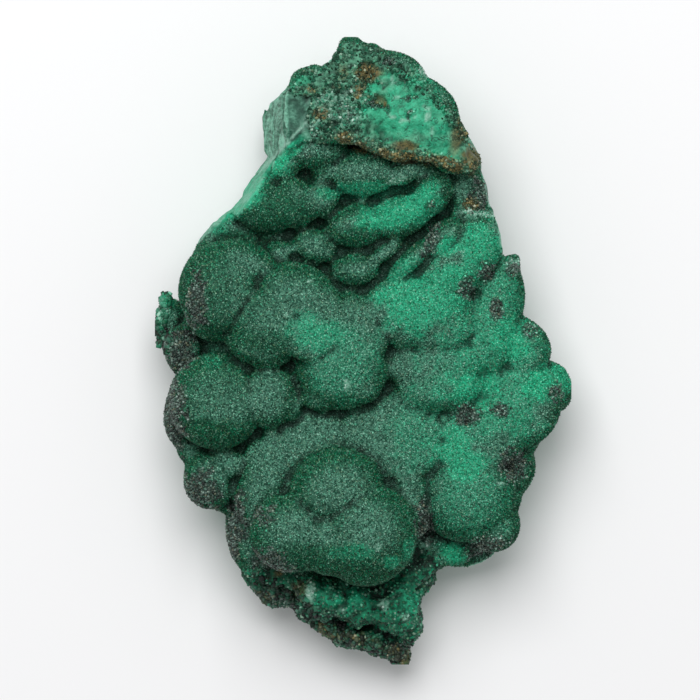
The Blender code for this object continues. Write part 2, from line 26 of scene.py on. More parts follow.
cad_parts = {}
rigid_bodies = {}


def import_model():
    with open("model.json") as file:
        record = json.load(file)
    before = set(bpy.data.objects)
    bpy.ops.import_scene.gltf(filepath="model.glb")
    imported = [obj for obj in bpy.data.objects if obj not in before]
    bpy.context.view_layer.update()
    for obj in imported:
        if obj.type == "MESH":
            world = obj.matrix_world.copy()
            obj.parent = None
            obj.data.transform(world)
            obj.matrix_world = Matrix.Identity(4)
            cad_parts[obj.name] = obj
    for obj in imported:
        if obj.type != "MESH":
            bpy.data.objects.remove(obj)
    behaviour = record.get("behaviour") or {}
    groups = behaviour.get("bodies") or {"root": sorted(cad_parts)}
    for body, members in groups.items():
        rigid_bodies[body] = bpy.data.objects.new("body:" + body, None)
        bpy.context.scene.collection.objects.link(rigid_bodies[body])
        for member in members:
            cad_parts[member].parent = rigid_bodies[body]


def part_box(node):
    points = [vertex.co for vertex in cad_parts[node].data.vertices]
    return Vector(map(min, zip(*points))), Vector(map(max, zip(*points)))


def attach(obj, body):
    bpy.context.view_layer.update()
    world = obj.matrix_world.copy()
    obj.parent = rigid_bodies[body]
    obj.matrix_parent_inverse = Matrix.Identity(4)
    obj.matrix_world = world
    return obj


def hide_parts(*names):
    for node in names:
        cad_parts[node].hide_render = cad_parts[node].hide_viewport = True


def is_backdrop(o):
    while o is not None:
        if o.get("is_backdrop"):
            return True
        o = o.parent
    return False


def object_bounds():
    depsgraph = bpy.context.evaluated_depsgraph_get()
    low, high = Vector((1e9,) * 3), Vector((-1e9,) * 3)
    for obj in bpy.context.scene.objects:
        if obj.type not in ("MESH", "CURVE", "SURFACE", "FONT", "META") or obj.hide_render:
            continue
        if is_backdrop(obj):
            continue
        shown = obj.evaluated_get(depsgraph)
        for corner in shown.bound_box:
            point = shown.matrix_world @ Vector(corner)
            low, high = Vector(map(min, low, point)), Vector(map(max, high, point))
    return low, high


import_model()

LOG = logging.getLogger("malachite")

MM = 0.001
SAME_PLACE = 1e-6       # metres within which two vertices are one
HALF_TURN = 180.0
NODE = "malachite_specimen"
BODY = "root"
BAKE_MAP = "OFBake"
SEED = 7
GROWING_SEED = 1000     # added to a layer's seed once its places are drawn

Array = np.ndarray


# ---- small tools ------------------------------------------------------------------------------------

class Tone(tuple):
    """A display colour, red, green and blue from 0 to 255."""

    def __new__(cls, red: float, green: float, blue: float) -> "Tone":
        """Make a tone from its three display values."""
        return super().__new__(cls, (red, green, blue))

    def linear(self) -> tuple[float, float, float, float]:
        """The tone as a linear colour.

        Returns:
            Red, green and blue, then an alpha of 1.
        """
        parts = [value / 255.0 for value in self]
        bent = [part / 12.92 if part <= 0.04045 else ((part + 0.055) / 1.055) ** 2.4 for part in parts]
        return (bent[0], bent[1], bent[2], 1.0)


def smooth_step(low: float, high: float, values: Array) -> Array:
    """Rise smoothly from 0 at low to 1 at high, or fall where high is below low.

    Args:
        low: Value where the step is 0.
        high: Value where the step is 1.
        values: Numbers to pass through the step.

    Returns:
        One number from 0 to 1 for each value.
    """
    share = np.clip((values - low) / (high - low), 0.0, 1.0)
    return share * share * (3.0 - 2.0 * share)


class Noise:
    """Seeded smooth noise over points in space."""

    AXIS_PRIMES = (73856093, 19349663, 83492791)
    SEED_PRIME = 374761393
    MIXING = ((13, 1274126177), (16, 668265263))    # bits to shift, and the prime that follows
    LAST_SHIFT = 15
    FULL = 0xFFFFFFFF
    OCTAVE_OFFSET = 31.7                            # keeps the scales from lining up

    def __init__(self, seed: int) -> None:
        """Keep the seed that sets this noise apart from others."""
        self.seed = seed

    def _corner(self, cells: Array) -> Array:
        """Random number from 0 to 1 for whole-numbered cells.

        Args:
            cells: Whole numbers, three a row.

        Returns:
            One number a row.
        """
        mixed = np.zeros(len(cells), np.int64)
        for axis, prime in enumerate(self.AXIS_PRIMES):
            mixed ^= cells[:, axis] * prime
        mixed = (mixed + self.seed * self.SEED_PRIME) & self.FULL
        for shift, prime in self.MIXING:
            mixed = ((mixed ^ (mixed >> shift)) * prime) & self.FULL
        return (mixed ^ (mixed >> self.LAST_SHIFT)) / self.FULL

    def at(self, points: Array, spacing: float) -> Array:
        """Smooth noise with features one spacing wide.

        Args:
            points: Places in millimetres, three numbers a row.
            spacing: Width of a feature in millimetres.

        Returns:
            One number from -1 to 1 a point.
        """
        cells = points / spacing
        base = np.floor(cells).astype(np.int64)
        share = cells - base
        share = share * share * (3.0 - 2.0 * share)
        total = np.zeros(len(points))
        for corner in product((0, 1), repeat=3):
            step = np.array(corner)
            weight = np.where(step == 1, share, 1.0 - share).prod(axis=1)
            total += weight * self._corner(base + step)
        return total * 2.0 - 1.0

    def fractal(self, points: Array, spacing: float, octaves: int = 3) -> Array:
        """Noise at several scales, each half as wide and half as strong as the one before.

        Args:
            points: Places in millimetres, three numbers a row.
            spacing: Width of the broadest feature in millimetres.
            octaves: How many scales are added.

        Returns:
            One number from about -1 to 1 a point.
        """
        total = np.zeros(len(points))
        for octave in range(octaves):
            share = 0.5 ** octave
            total += share * self.at(points + self.OCTAVE_OFFSET * octave, spacing * share)
        return total / (2.0 - 0.5 ** (octaves - 1))


def distance_to_runs(points: Array, starts: Array, runs: Array) -> Array:
    """Distance in plan from each point to the nearest of some straight runs.

    Args:
        points: Places in millimetres; only x and y count.
        starts: Where each run starts, two numbers a row.
        runs: How far each run goes, two numbers a row.

    Returns:
        One distance a point, millimetres.
    """
    places = points[:, None, :2]
    share = ((places - starts) * runs).sum(axis=2) / (runs * runs).sum(axis=1)
    nearest = starts + np.clip(share, 0.0, 1.0)[..., None] * runs
    return np.linalg.norm(places - nearest, axis=2).min(axis=1)


def inside_outline(points: Array, outline: Sequence[tuple[float, float]], soft: float) -> Array:
    """How far points lie inside an upright outline.

    Args:
        points: Places in millimetres; only x and y count.
        outline: Corners of the outline in order.
        soft: Width of the soft edge, half of it on each side.

    Returns:
        One number a point, from 0 outside to 1 inside.
    """
    corners = np.array(outline, float)
    nexts = np.roll(corners, -1, axis=0)
    places = points[:, None, :2]
    runs = nexts - corners
    distance = distance_to_runs(points, corners, runs)
    above = (corners[:, 1] > places[..., 1]) != (nexts[:, 1] > places[..., 1])
    rise = np.where(runs[:, 1] == 0.0, 1.0, runs[:, 1])
    crossing = corners[:, 0] + (places[..., 1] - corners[:, 1]) * runs[:, 0] / rise
    inside = (above & (places[..., 0] < crossing)).sum(axis=1) % 2 == 1
    signed = np.where(inside, distance, -distance)
    return smooth_step(-soft / 2.0, soft / 2.0, signed)


# ---- the forms that the body is made of ---------------------------------------------------------------

class Oval:
    """A turned ellipse in plan."""

    x: float
    y: float
    half_x: float
    half_y: float
    turn: float

    def across(self, x: Array, y: Array) -> Array:
        """How far out places lie.

        Args:
            x: Places along the width, millimetres.
            y: Places along the length, millimetres.

        Returns:
            The squared distance from the middle, 1 at the rim.
        """
        turn = math.radians(self.turn)
        along = ((x - self.x) * math.cos(turn) + (y - self.y) * math.sin(turn)) / self.half_x
        aside = ((y - self.y) * math.cos(turn) - (x - self.x) * math.sin(turn)) / self.half_y
        return along * along + aside * aside


@dataclass(frozen=True)
class Lump(Oval):
    """One rounded growth: an ellipsoid that is given by its top."""

    name: str
    x: float
    y: float
    half_x: float
    half_y: float
    top: float
    turn: float = 0.0
    steepness: float = 1.0      # half height over the mean of the two half widths

    @property
    def half_z(self) -> float:
        """Half height of the ellipsoid."""
        return self.steepness * (self.half_x + self.half_y) / 2.0

    def height_at(self, x: float, y: float, dip: float) -> float | None:
        """Height of the dipping lump's upper side over a place.

        Args:
            x: Place along the width.
            y: Place along the length.
            dip: Rise of the lump towards the foot end, a share of the way.

        Returns:
            The height, or None beside the lump.
        """
        inside = 1.0 - self.across(x, y)
        if inside <= 0.0:
            return None
        return self.top - self.half_z + self.half_z * math.sqrt(inside) - dip * (y - self.y)

    def depth(self, points: Array, dip: float) -> Array:
        """Rough depth of points below the dipping lump's surface.

        Args:
            points: Places in millimetres, three numbers a row.
            dip: Rise of the lump towards the foot end, a share of the way.

        Returns:
            One number a point in millimetres, below 0 outside the lump.
        """
        up = points[:, 2] + dip * (points[:, 1] - self.y) - self.top + self.half_z
        reach = np.sqrt(self.across(points[:, 0], points[:, 1]) + (up / self.half_z) ** 2)
        return (1.0 - reach) * (self.half_x + self.half_y + self.half_z) / 3.0


@dataclass(frozen=True)
class Growth:
    """A family of lumps that grew together.

    The dip tips each lump towards the foot end, so that it overhangs the next one like a shingle.
    """

    name: str
    softness: int               # smoothing passes that its creases take
    dip: float
    lumps: tuple[Lump, ...]


@dataclass(frozen=True)
class Slab:
    """A broken block of matrix: an upright outline, drawn in a little at its foot."""

    name: str
    bottom: float
    top: float
    foot_scale: float
    outline: tuple[tuple[float, float], ...]


@dataclass(frozen=True)
class Break:
    """A flat broken face: everything within its width and height, on the side it looks to, is gone."""

    name: str
    x: float
    y: float
    z: float
    looks_to: float             # degrees in plan, from +X towards +Y
    rise: float                 # degrees that it looks up, negative for down
    width: float
    height: float
    reach: float = 14.0

    def turn(self) -> Euler:
        """Turn that brings +X to where the face looks."""
        return Euler((0.0, -math.radians(self.rise), math.radians(self.looks_to)), "XYZ")

    def nearness(self, points: Array, soft: float) -> Array:
        """How surely points lie on this broken face.

        Args:
            points: Places in millimetres, three numbers a row.
            soft: Distance from the face over which the answer falls to 0.

        Returns:
            One number from 0 to 1 a point.
        """
        sides = np.array(self.turn().to_matrix())
        local = (points - np.array((self.x, self.y, self.z))) @ sides
        near = smooth_step(soft, soft / 3.0, np.abs(local[:, 0]))
        wide = np.abs(local[:, 1]) < self.width / 2.0
        high = np.abs(local[:, 2]) < self.height / 2.0
        return near * (wide & high)


@dataclass(frozen=True)
class KnobBand:
    """A crumbly strip: small knobs strewn along a path on the surface."""

    name: str
    path: tuple[tuple[float, float], ...]
    spread: float
    count: int
    smallest: float
    largest: float

    def spot(self, share: float) -> Vector:
        """Place on the path.

        Args:
            share: How far along, from 0 to 1, each run counting the same.

        Returns:
            The place, x and y in millimetres.
        """
        runs = len(self.path) - 1
        place = share * runs
        run = min(int(place), runs - 1)
        return Vector(self.path[run]).lerp(Vector(self.path[run + 1]), place - run)


@dataclass(frozen=True)
class Pit:
    """A small hollow in the surface."""

    name: str
    x: float
    y: float
    radius: float
    depth: float


@dataclass(frozen=True)
class Patch(Oval):
    """A named place on the upper side, an ellipse with a wavering edge."""

    WAVER_REACH: ClassVar[float] = 0.35                     # how far the waver shifts the edge
    EDGE: ClassVar[tuple[float, float]] = (1.25, 0.6)       # where the cover starts and is full

    name: str
    x: float
    y: float
    half_x: float
    half_y: float
    turn: float = 0.0
    strength: float = 1.0

    def cover(self, points: Array, waver: Array) -> Array:
        """How strongly the patch covers points.

        Args:
            points: Places in millimetres; only x and y count.
            waver: Numbers from -1 to 1 that shift the edge in and out.

        Returns:
            One number from 0 to the patch's strength a point.
        """
        reach = np.sqrt(self.across(points[:, 0], points[:, 1])) + self.WAVER_REACH * waver
        return self.strength * smooth_step(*self.EDGE, reach)


# ---- driving sizes and named places, millimetres --------------------------------------------------------

LENGTH = 110.0
THICKNESS = 34.0
UNDERCUT = 1.5          # how far the matrix reaches below the resting face before it is cut

TOE_OUTLINE = ((-23, -38.5), (-15, -38), (-10, -39), (-3, -40.5), (4, -40), (8, -37), (10.5, -33), (14, -37),
               (13, -42), (11, -52), (8, -57), (0, -55), (-10, -52), (-20, -46))

WEST_DOMES = Growth("west_domes", 2, 0.15, (
    Lump("bed_west", -21.25, -4.25, 10.75, 19.5, 19, 0, 0.6),
    Lump("upper_left", -24.25, 11, 7.75, 8.5, 30.8, -20, 1.05),
    Lump("upper_left_low", -25.75, 6.75, 5, 5.25, 26.5),
    Lump("left_dome", -15.75, 5.75, 8.25, 8, 31.8, 0, 1.05),
    Lump("left_foot", -17.5, 1.5, 6.5, 4.5, 29.5, -12),
    Lump("left_brow", -11.5, 9.75, 8, 5.75, 31.3, -16),
    Lump("left_rim", -20.25, 15.5, 6, 3.5, 28.5, -22),
    Lump("middle_dome", -3.5, -2.5, 8.5, 8, 31, 0, 1.0),
    Lump("middle_bud", -0.25, -6.25, 3.75, 3.25, 29),
    Lump("middle_heel", -7, -7.5, 3.75, 3.25, 27.5),
    Lump("middle_field", -4.5, 3.25, 9.5, 7, 30, -15, 0.5),
    Lump("saddle", -9, 5.5, 6.5, 7.5, 31, 0, 0.45),
    Lump("west_dome", -25.25, -8.75, 8.5, 8.5, 29.5),
    Lump("west_bud", -16.5, -7.5, 5.5, 6.25, 28),
    Lump("west_flank", -31.25, -10.5, 3.25, 6.25, 20, -8),
    Lump("west_seam", -13.25, -8.75, 3.75, 4.25, 25.5),
    Lump("pea", -15.5, -14.75, 2.5, 2, 23.5),
    Lump("low_west", -26.25, -22.25, 5, 5.5, 22),
    Lump("low_west_foot", -23.75, -25.25, 3.5, 3, 18),
    Lump("west_link", -29.25, -17, 3.25, 3, 18),
    Lump("low_west_brow", -23.5, -19.5, 4.25, 3.5, 22.5),
))

SOUTH_DOMES = Growth("south_domes", 2, 0.0, (
    Lump("bed_south", -2, -26, 18.25, 16, 18.5, 0, 0.5),
    Lump("low_shoulder", -17, -24, 5.25, 7.5, 24.5, -15, 0.8),
    Lump("low_flank", -19.5, -31.75, 4.25, 7.75, 20, 8),
    Lump("low_heel", -18, -38.5, 3, 4.25, 14, 20),
    Lump("belly", 0.75, -31.75, 9, 9, THICKNESS, 0, 1.1),
    Lump("belly_brow", -4.25, -24.5, 8.75, 7.75, 32.8, 18, 1.2),
    Lump("belly_west", -12, -31.75, 7.75, 7, 31.6, 0, 1.1),
    Lump("belly_middle", -5, -33, 6.5, 6.5, 31.8),
    Lump("belly_foot", 1.75, -36, 7, 5, 30.5, 20),
    Lump("terrace_mid", -7, -16.5, 10.75, 8.5, 24.5, 10, 0.4),
    Lump("terrace_west", -15, -19.5, 6.25, 7, 23.5, -15, 0.55),
    Lump("neck", 8, -23, 4.25, 9.75, 25.8, 10, 0.8),
    Lump("groove_bank", 12.25, -22.5, 3, 6, 23.5),
    Lump("south_east", 18.25, -24.5, 9, 9, 26.8, 0, 0.95),
    Lump("south_rim", 23, -30.5, 4.75, 4.75, 22),
    Lump("south_rim_high", 24.25, -25.5, 3.75, 3.5, 21),
    Lump("south_bud", 16, -34.75, 3.5, 3, 15.5),
    Lump("south_skirt", 18.25, -34.5, 8, 4, 12, -12),
    Lump("south_link", 10.75, -39, 2, 3.5, 13, -20),
))

EAST_FIELD = Growth("east_field", 8, 0.1, (
    Lump("bed_middle", -4.75, 4.5, 16.5, 11.5, 24, 0, 0.45),
    Lump("bed_east", 15.25, -3.5, 15.25, 19.5, 23, 12, 0.45),
    Lump("plain", -3.25, 5.25, 9, 6, 29.4, -8, 0.8),
    Lump("terrace_east", 5.25, -15, 11, 9.25, 26, 0, 0.4),
    Lump("east_dome", 8.75, 7.25, 10.75, 7.75, 29.2, 6, 0.8),
    Lump("east_dome_low", 12, 4.25, 8, 5.25, 27.6, 5, 0.7),
    Lump("east_bank", 16.25, 15.5, 11, 6, 27.6, 42, 0.75),
    Lump("east_low", 13.25, -6.25, 8.25, 5, 27.6, 3, 1.0),
    Lump("east_shelf_mid", 12, -2, 10.75, 4.5, 26.7, 5, 0.6),
    Lump("east_slope", 21, 3.5, 6.5, 8.25, 24.6, 0, 0.8),
    Lump("east_slope_high", 22.75, 10.5, 5.75, 8.25, 23, 10, 0.8),
    Lump("east_bud", 27, 0.5, 6.25, 5.5, 22, -25, 0.9),
    Lump("east_tip", 31.75, -6.75, 5.25, 5, 18.5, 30),
    Lump("east_sill", 26.5, -9, 8.5, 8.5, 23, 0, 0.6),
    Lump("east_lower", 20.25, -14, 9, 7.25, 25.5, 0, 0.6),
    Lump("south_high", 18.75, -17.75, 6.5, 5.75, 26, 0, 0.6),
    Lump("east_spot", 25.75, -19.5, 4.5, 6, 21, 15),
    Lump("east_link", 27.5, -14.5, 4, 4, 20),
    Lump("east_ear", 24.5, 13.25, 3.25, 5.5, 18.5),
    Lump("east_ear_tip", 25.25, 15.5, 2.5, 2.75, 17),
    Lump("north_bank", 18.5, 23.25, 4.75, 8, 23.5, 20),
))

ROLLS = Growth("rolls", 1, 0.1, (
    Lump("bed_north", 1.5, 29.75, 16, 12.25, 20.5, 10, 0.45),
    Lump("bed_folds", 0, 18, 14, 6, 21.5, 0, 0.4),
    Lump("roll_one", 0.25, 31.25, 7.5, 4.75, 28.6, 0, 1.35),
    Lump("roll_one_west", -5.5, 32.5, 4.25, 3.75, 26.5, 30, 1.2),
    Lump("roll_one_end", 7.75, 31.25, 5, 2.75, 27.6, 12, 1.35),
    Lump("roll_two", -0.5, 21.75, 6.25, 4.5, 28, 4, 1.35),
    Lump("roll_two_mid", 6.5, 23.5, 7, 4.25, 28.8, 20, 1.35),
    Lump("roll_two_end", 12, 27.5, 4.5, 3.5, 28.4, 58, 1.35),
    Lump("roll_west", -16.75, 25.5, 6.5, 5, 28, -12, 1.3),
    Lump("roll_west_mid", -12, 26, 5, 4.75, 28.2, 0, 1.3),
    Lump("roll_west_end", -7.5, 26.75, 4, 3.75, 26.6, 0, 1.2),
    Lump("roll_slope", -12.25, 33, 4.25, 2.5, 26.5, 38),
    Lump("roll_slope_east", -9.5, 34.75, 2.75, 3.25, 27, 20),
    Lump("slope_below_crust", -8.75, 36, 6, 4.25, 29, -10),
    Lump("north_shelf", 18, 28, 3.75, 5, 24, 10),
    Lump("fold_west", -18, 19.25, 5, 2.75, 21, -18, 1.2),
    Lump("fold_mid", -14.25, 17, 3.5, 2.25, 24, 12, 1.3),
    Lump("fold_east", -8, 18.25, 4.75, 3.75, 25.5, -18, 1.3),
    Lump("oval", -1, 14, 5, 3.5, 27.6, 8, 1.4),
    Lump("oval_tail", 4, 17.25, 5.25, 2.25, 26.4, 34, 1.4),
    Lump("ridge", 8.75, 15.75, 6.75, 2.5, 27.8, 43, 1.3),
    Lump("ridge_end", 14, 19.25, 5, 3, 27.5, 45, 1.2),
))

CRUSTS = Growth("crusts", 1, 0.0, (
    Lump("ear", -33.5, 4.75, 2.75, 4.5, 13, -10),
    Lump("ear_post", -34.25, 8.75, 1.25, 1.75, 13.5),
    Lump("ear_root", -31, -0.25, 3.5, 4.75, 19, 20),
    Lump("crust_peak", -2, 52, 2.5, 3.25, 29),
    Lump("crust_peak_east", 1.5, 51.75, 2.5, 2, 28.5),
    Lump("crust_brow", 6, 48.75, 5.5, 3.5, 30.5, -20, 0.6),
    Lump("crust_knob_west", -9.25, 47.25, 3.5, 2.5, 30, 10),
    Lump("crust_west", -9.75, 42, 4.25, 6, 31, 0, 0.6),
    Lump("crust_middle", -3, 43, 8, 7.25, 32, 0, 0.35),
    Lump("crust_dome", 9.75, 41.25, 7.75, 6.75, 32.5, -35, 0.45),
    Lump("crust_east", 14.75, 36.25, 4, 6, 31, 25, 0.5),
    Lump("ledge_one", -2.75, 38.25, 2.75, 2, 31.5, -15),
    Lump("ledge_two", 2, 36.5, 3.25, 2, 31.3, -20),
    Lump("ledge_three", 6.5, 34.75, 3, 2, 31.2),
    Lump("ledge_four", 10.75, 35, 3, 2, 31, -5),
    Lump("ledge_five", 14.75, 33.5, 3, 2, 30.8, -15),
    Lump("ledge_six", 18.25, 33, 2.25, 2, 30),
    Lump("bed_toe", -2, -43.5, 10.25, 6.75, 11.5, 0, 0.5),
    Lump("toe_west", -15, -41.5, 5, 3.25, 13, -14),
    Lump("toe_one", -6.5, -43, 4.5, 3.75, 18),
    Lump("toe_two", -1, -44.5, 4.25, 3.75, 17.5),
    Lump("toe_three", 5.5, -44.5, 5, 4.75, 17),
    Lump("toe_four", 8, -48, 2.5, 3.25, 15),
    Lump("toe_tip", 6.25, -52.75, 1.75, 2.75, 10.5, 30),
    Lump("toe_rim_one", -5.75, -46.25, 3, 2.75, 12, -30),
    Lump("toe_rim_two", -2.75, -49.25, 4, 2.5, 12, -15),
    Lump("toe_rim_three", 2.75, -50.5, 3.5, 2.5, 12, -10),
))

GROWTHS = (WEST_DOMES, SOUTH_DOMES, EAST_FIELD, ROLLS, CRUSTS)

SLABS = (
    Slab("matrix", -UNDERCUT, 15.0, 0.9, (
        (-3, 52.5), (4, 49.5), (7.5, 48), (11.5, 45), (15.5, 40), (18, 35), (20, 30), (21, 25),
        (22, 19), (25, 13), (26, 8), (29, 3), (33, -1), (35, -7), (33.5, -11), (30, -17.5),
        (28.5, -22.5), (27, -27), (26, -32.5), (19.5, -36.5), (13.5, -38.5), (8.5, -42), (-11, -42),
        (-17.5, -41), (-20.5, -37.5), (-22.5, -27), (-28.5, -24), (-31, -18), (-32.5, -10.5),
        (-31.5, -4.5), (-32, 2), (-31, 9), (-30.5, 15), (-28.5, 19), (-24.5, 24), (-20, 28.5),
        (-19.5, 33), (-19.5, 38), (-18, 43), (-12, 46.5), (-7, 49))),
    Slab("matrix_north", 9.0, 21.0, 1.0, (
        (-3, 53), (4, 50), (7.5, 49.5), (11.5, 46.5), (16, 41.5), (18, 37), (20.75, 33.5), (21.5, 28),
        (22.3, 22.5), (22.5, 17.5), (8, 12), (-11, 12), (-23, 15), (-30, 15), (-28, 20),
        (-24.5, 24), (-20.5, 28.5), (-18.5, 33), (-18.5, 38), (-18, 42), (-14.5, 44), (-12.5, 46),
        (-10, 48), (-6.5, 49))),
    Slab("crown_neck", 19.0, 27.5, 1.0, (
        (-3, 52.5), (4, 49.5), (7.5, 49), (11.5, 46), (16, 40.5), (18, 36.5), (18.5, 34),
        (8, 35.5), (-5, 38.5), (-12, 38), (-14.5, 34), (-18, 34), (-18, 38), (-17, 42),
        (-14.5, 44.5), (-12, 46), (-6.5, 49))),
    Slab("matrix_toe", 1.0, 9.0, 0.85, (
        (-17.5, -41.5), (-10.5, -44), (-6.5, -48), (-2, -50), (4, -51), (7, -53), (8.5, -50.5),
        (9.5, -45.5), (11, -41), (13.5, -37), (-17.5, -36.5))),
    Slab("crown_crust", 26.5, 30.3, 0.97, (
        (-3, 54), (3, 53), (4, 51), (7.5, 50.5), (9.5, 49), (11.5, 46.5), (14, 43), (16.5, 41),
        (17.5, 38), (19.5, 35.5), (21, 32.5), (18, 31.5), (15.5, 32), (13.5, 33.5), (11.5, 34),
        (8, 33.5), (5, 34.5), (2, 35.5), (-0.5, 36.5), (-3.5, 37.5), (-6.5, 36), (-10, 37),
        (-12.5, 35), (-14.5, 35), (-15, 43), (-12.5, 46.5), (-10.5, 48.5), (-6.5, 49.5),
        (-4.5, 52.5))),
)

BREAKS = (
    Break("crown_wall", -13.8, 40.5, 26, 180, 11, 14, 56),
    Break("grey_facet", -12.5, 39.75, 29.2, 176, 62, 10, 7.5),
    Break("diagonal_wall", -18.6, 28.4, 24, 144, 5, 12, 52),
    Break("shoulder_wall", -24.5, 22.8, 22, 133, 2, 12, 48),
    Break("north_east_wall", 22.2, 24.5, 14, 13, -5, 17, 30),
    Break("east_wall", 30.7, -18, 10, -25, -12, 18, 24),
    Break("crown_back_west", -9, 46.8, 10, 128, -22, 18, 30),
    Break("crown_back_middle", 1, 50.2, 9, 84, -18, 18, 30),
    Break("crown_back_east", 13.5, 42.5, 12, 48, -14, 16, 28),
    Break("north_foot", 4, 46, 3, 80, -52, 40, 20),
    Break("north_east_foot", 20, 24, 2.5, 20, -48, 26, 18),
    Break("east_foot", 27, 3, 4, 5, -42, 40, 26),
    Break("south_east_foot", 21, -31, 4, -55, -38, 34, 22),
    Break("south_west_foot", -20.5, -32, 5, 208, -34, 30, 24),
    Break("west_foot", -30, -7, 2.5, 184, -30, 40, 20),
    Break("toe_foot", 0, -45, 3, 268, -40, 40, 14),
    Break("north_west_foot", -22, 22, 3, 138, -40, 30, 16),
    Break("north_corner_foot", -17.5, 34, 5, 163, -36, 16, 18),
)
FLOOR = Break("floor", 0, 0, 0, 0, -90, 3.0 * LENGTH, 3.0 * LENGTH, 20)       # all below the resting face

KNOB_BANDS = (
    KnobBand("ledge", ((-4.5, 38), (2, 35.8), (6, 34.2), (11, 34.3), (15.5, 32.8), (19.5, 32)),
             0.9, 46, 0.6, 1.25),
    KnobBand("crown_rim", ((-13, 46), (-9, 48.4), (-5, 50), (-2, 52.5), (2, 52), (6, 49.5), (10, 46.5),
                           (14.5, 42), (18.5, 37)), 1.0, 44, 0.6, 1.4),
    KnobBand("crown_rough", ((-10, 44), (-8, 39), (-4, 45), (0, 47), (-2, 41)), 3.0, 46, 0.5, 1.3),
    KnobBand("toe_rim", ((-17.5, -41), (-12, -43), (-8, -47), (-3, -50), (2, -51), (6.5, -53)),
             1.2, 52, 0.6, 1.4),
    KnobBand("toe_top", ((-14, -40), (-7, -43), (0, -45), (6, -45), (8.5, -49)), 2.4, 40, 0.6, 1.5),
    KnobBand("ear_knobs", ((-34.5, 9), (-35, 6), (-35.5, 3.5), (-34.5, 1)), 1.1, 16, 0.6, 1.2),
)

PITS = (
    Pit("ear_gap", -32.25, 8.25, 1.1, 9),
    Pit("ear_slit", -31.75, 6, 0.9, 9),
    Pit("ochre_hollow", 1, 48.6, 2.1, 1.6),
    Pit("deep_pit", 4.2, 50.4, 1.1, 1.8),
    Pit("rust_pit", 3.2, 43.3, 1.0, 1.3),
    Pit("west_pit", -9, 47.3, 0.8, 1.0),
    Pit("west_pit_low", -6.8, 45, 0.8, 1.0),
    Pit("east_pit", 8, 41, 0.7, 0.9),
    Pit("low_pit", 5.5, 36, 0.8, 1.0),
)


# ---- zones of the surface -----------------------------------------------------------------------------

class Zone(Enum):
    """What grows or shows at a place; each is an attribute of the meshes, from 0 to 1."""

    VELVET = "velvet"           # fine druse over the lumps
    CRUST = "crust"             # crown's smooth to crumbly crust
    TOE = "toe"                 # crumbly toe and ear
    BROKEN = "broken"           # broken faces with their growth bands
    RUST = "rust"               # brown and ochre limonite
    EMERALD = "emerald"         # bright green: partly the stone's own colour, partly painted sheen on the velvet
    DARK = "dark"               # coarse grey-black druse
    PALE = "pale"               # pale teal crusts and tufts
    PAINTED_SHEEN = "frost"             # painted sheen: greyer, paler velvet on what faces up
    PAINTED_SHADE = "deep"               # painted shade: velvet without its painted sheen, on shaded flanks

    @property
    def title(self) -> str:
        """The zone's name with a capital, as the shared effects write it."""
        return self.value.capitalize()


TINTED = (Zone.EMERALD, Zone.DARK, Zone.RUST, Zone.PALE)


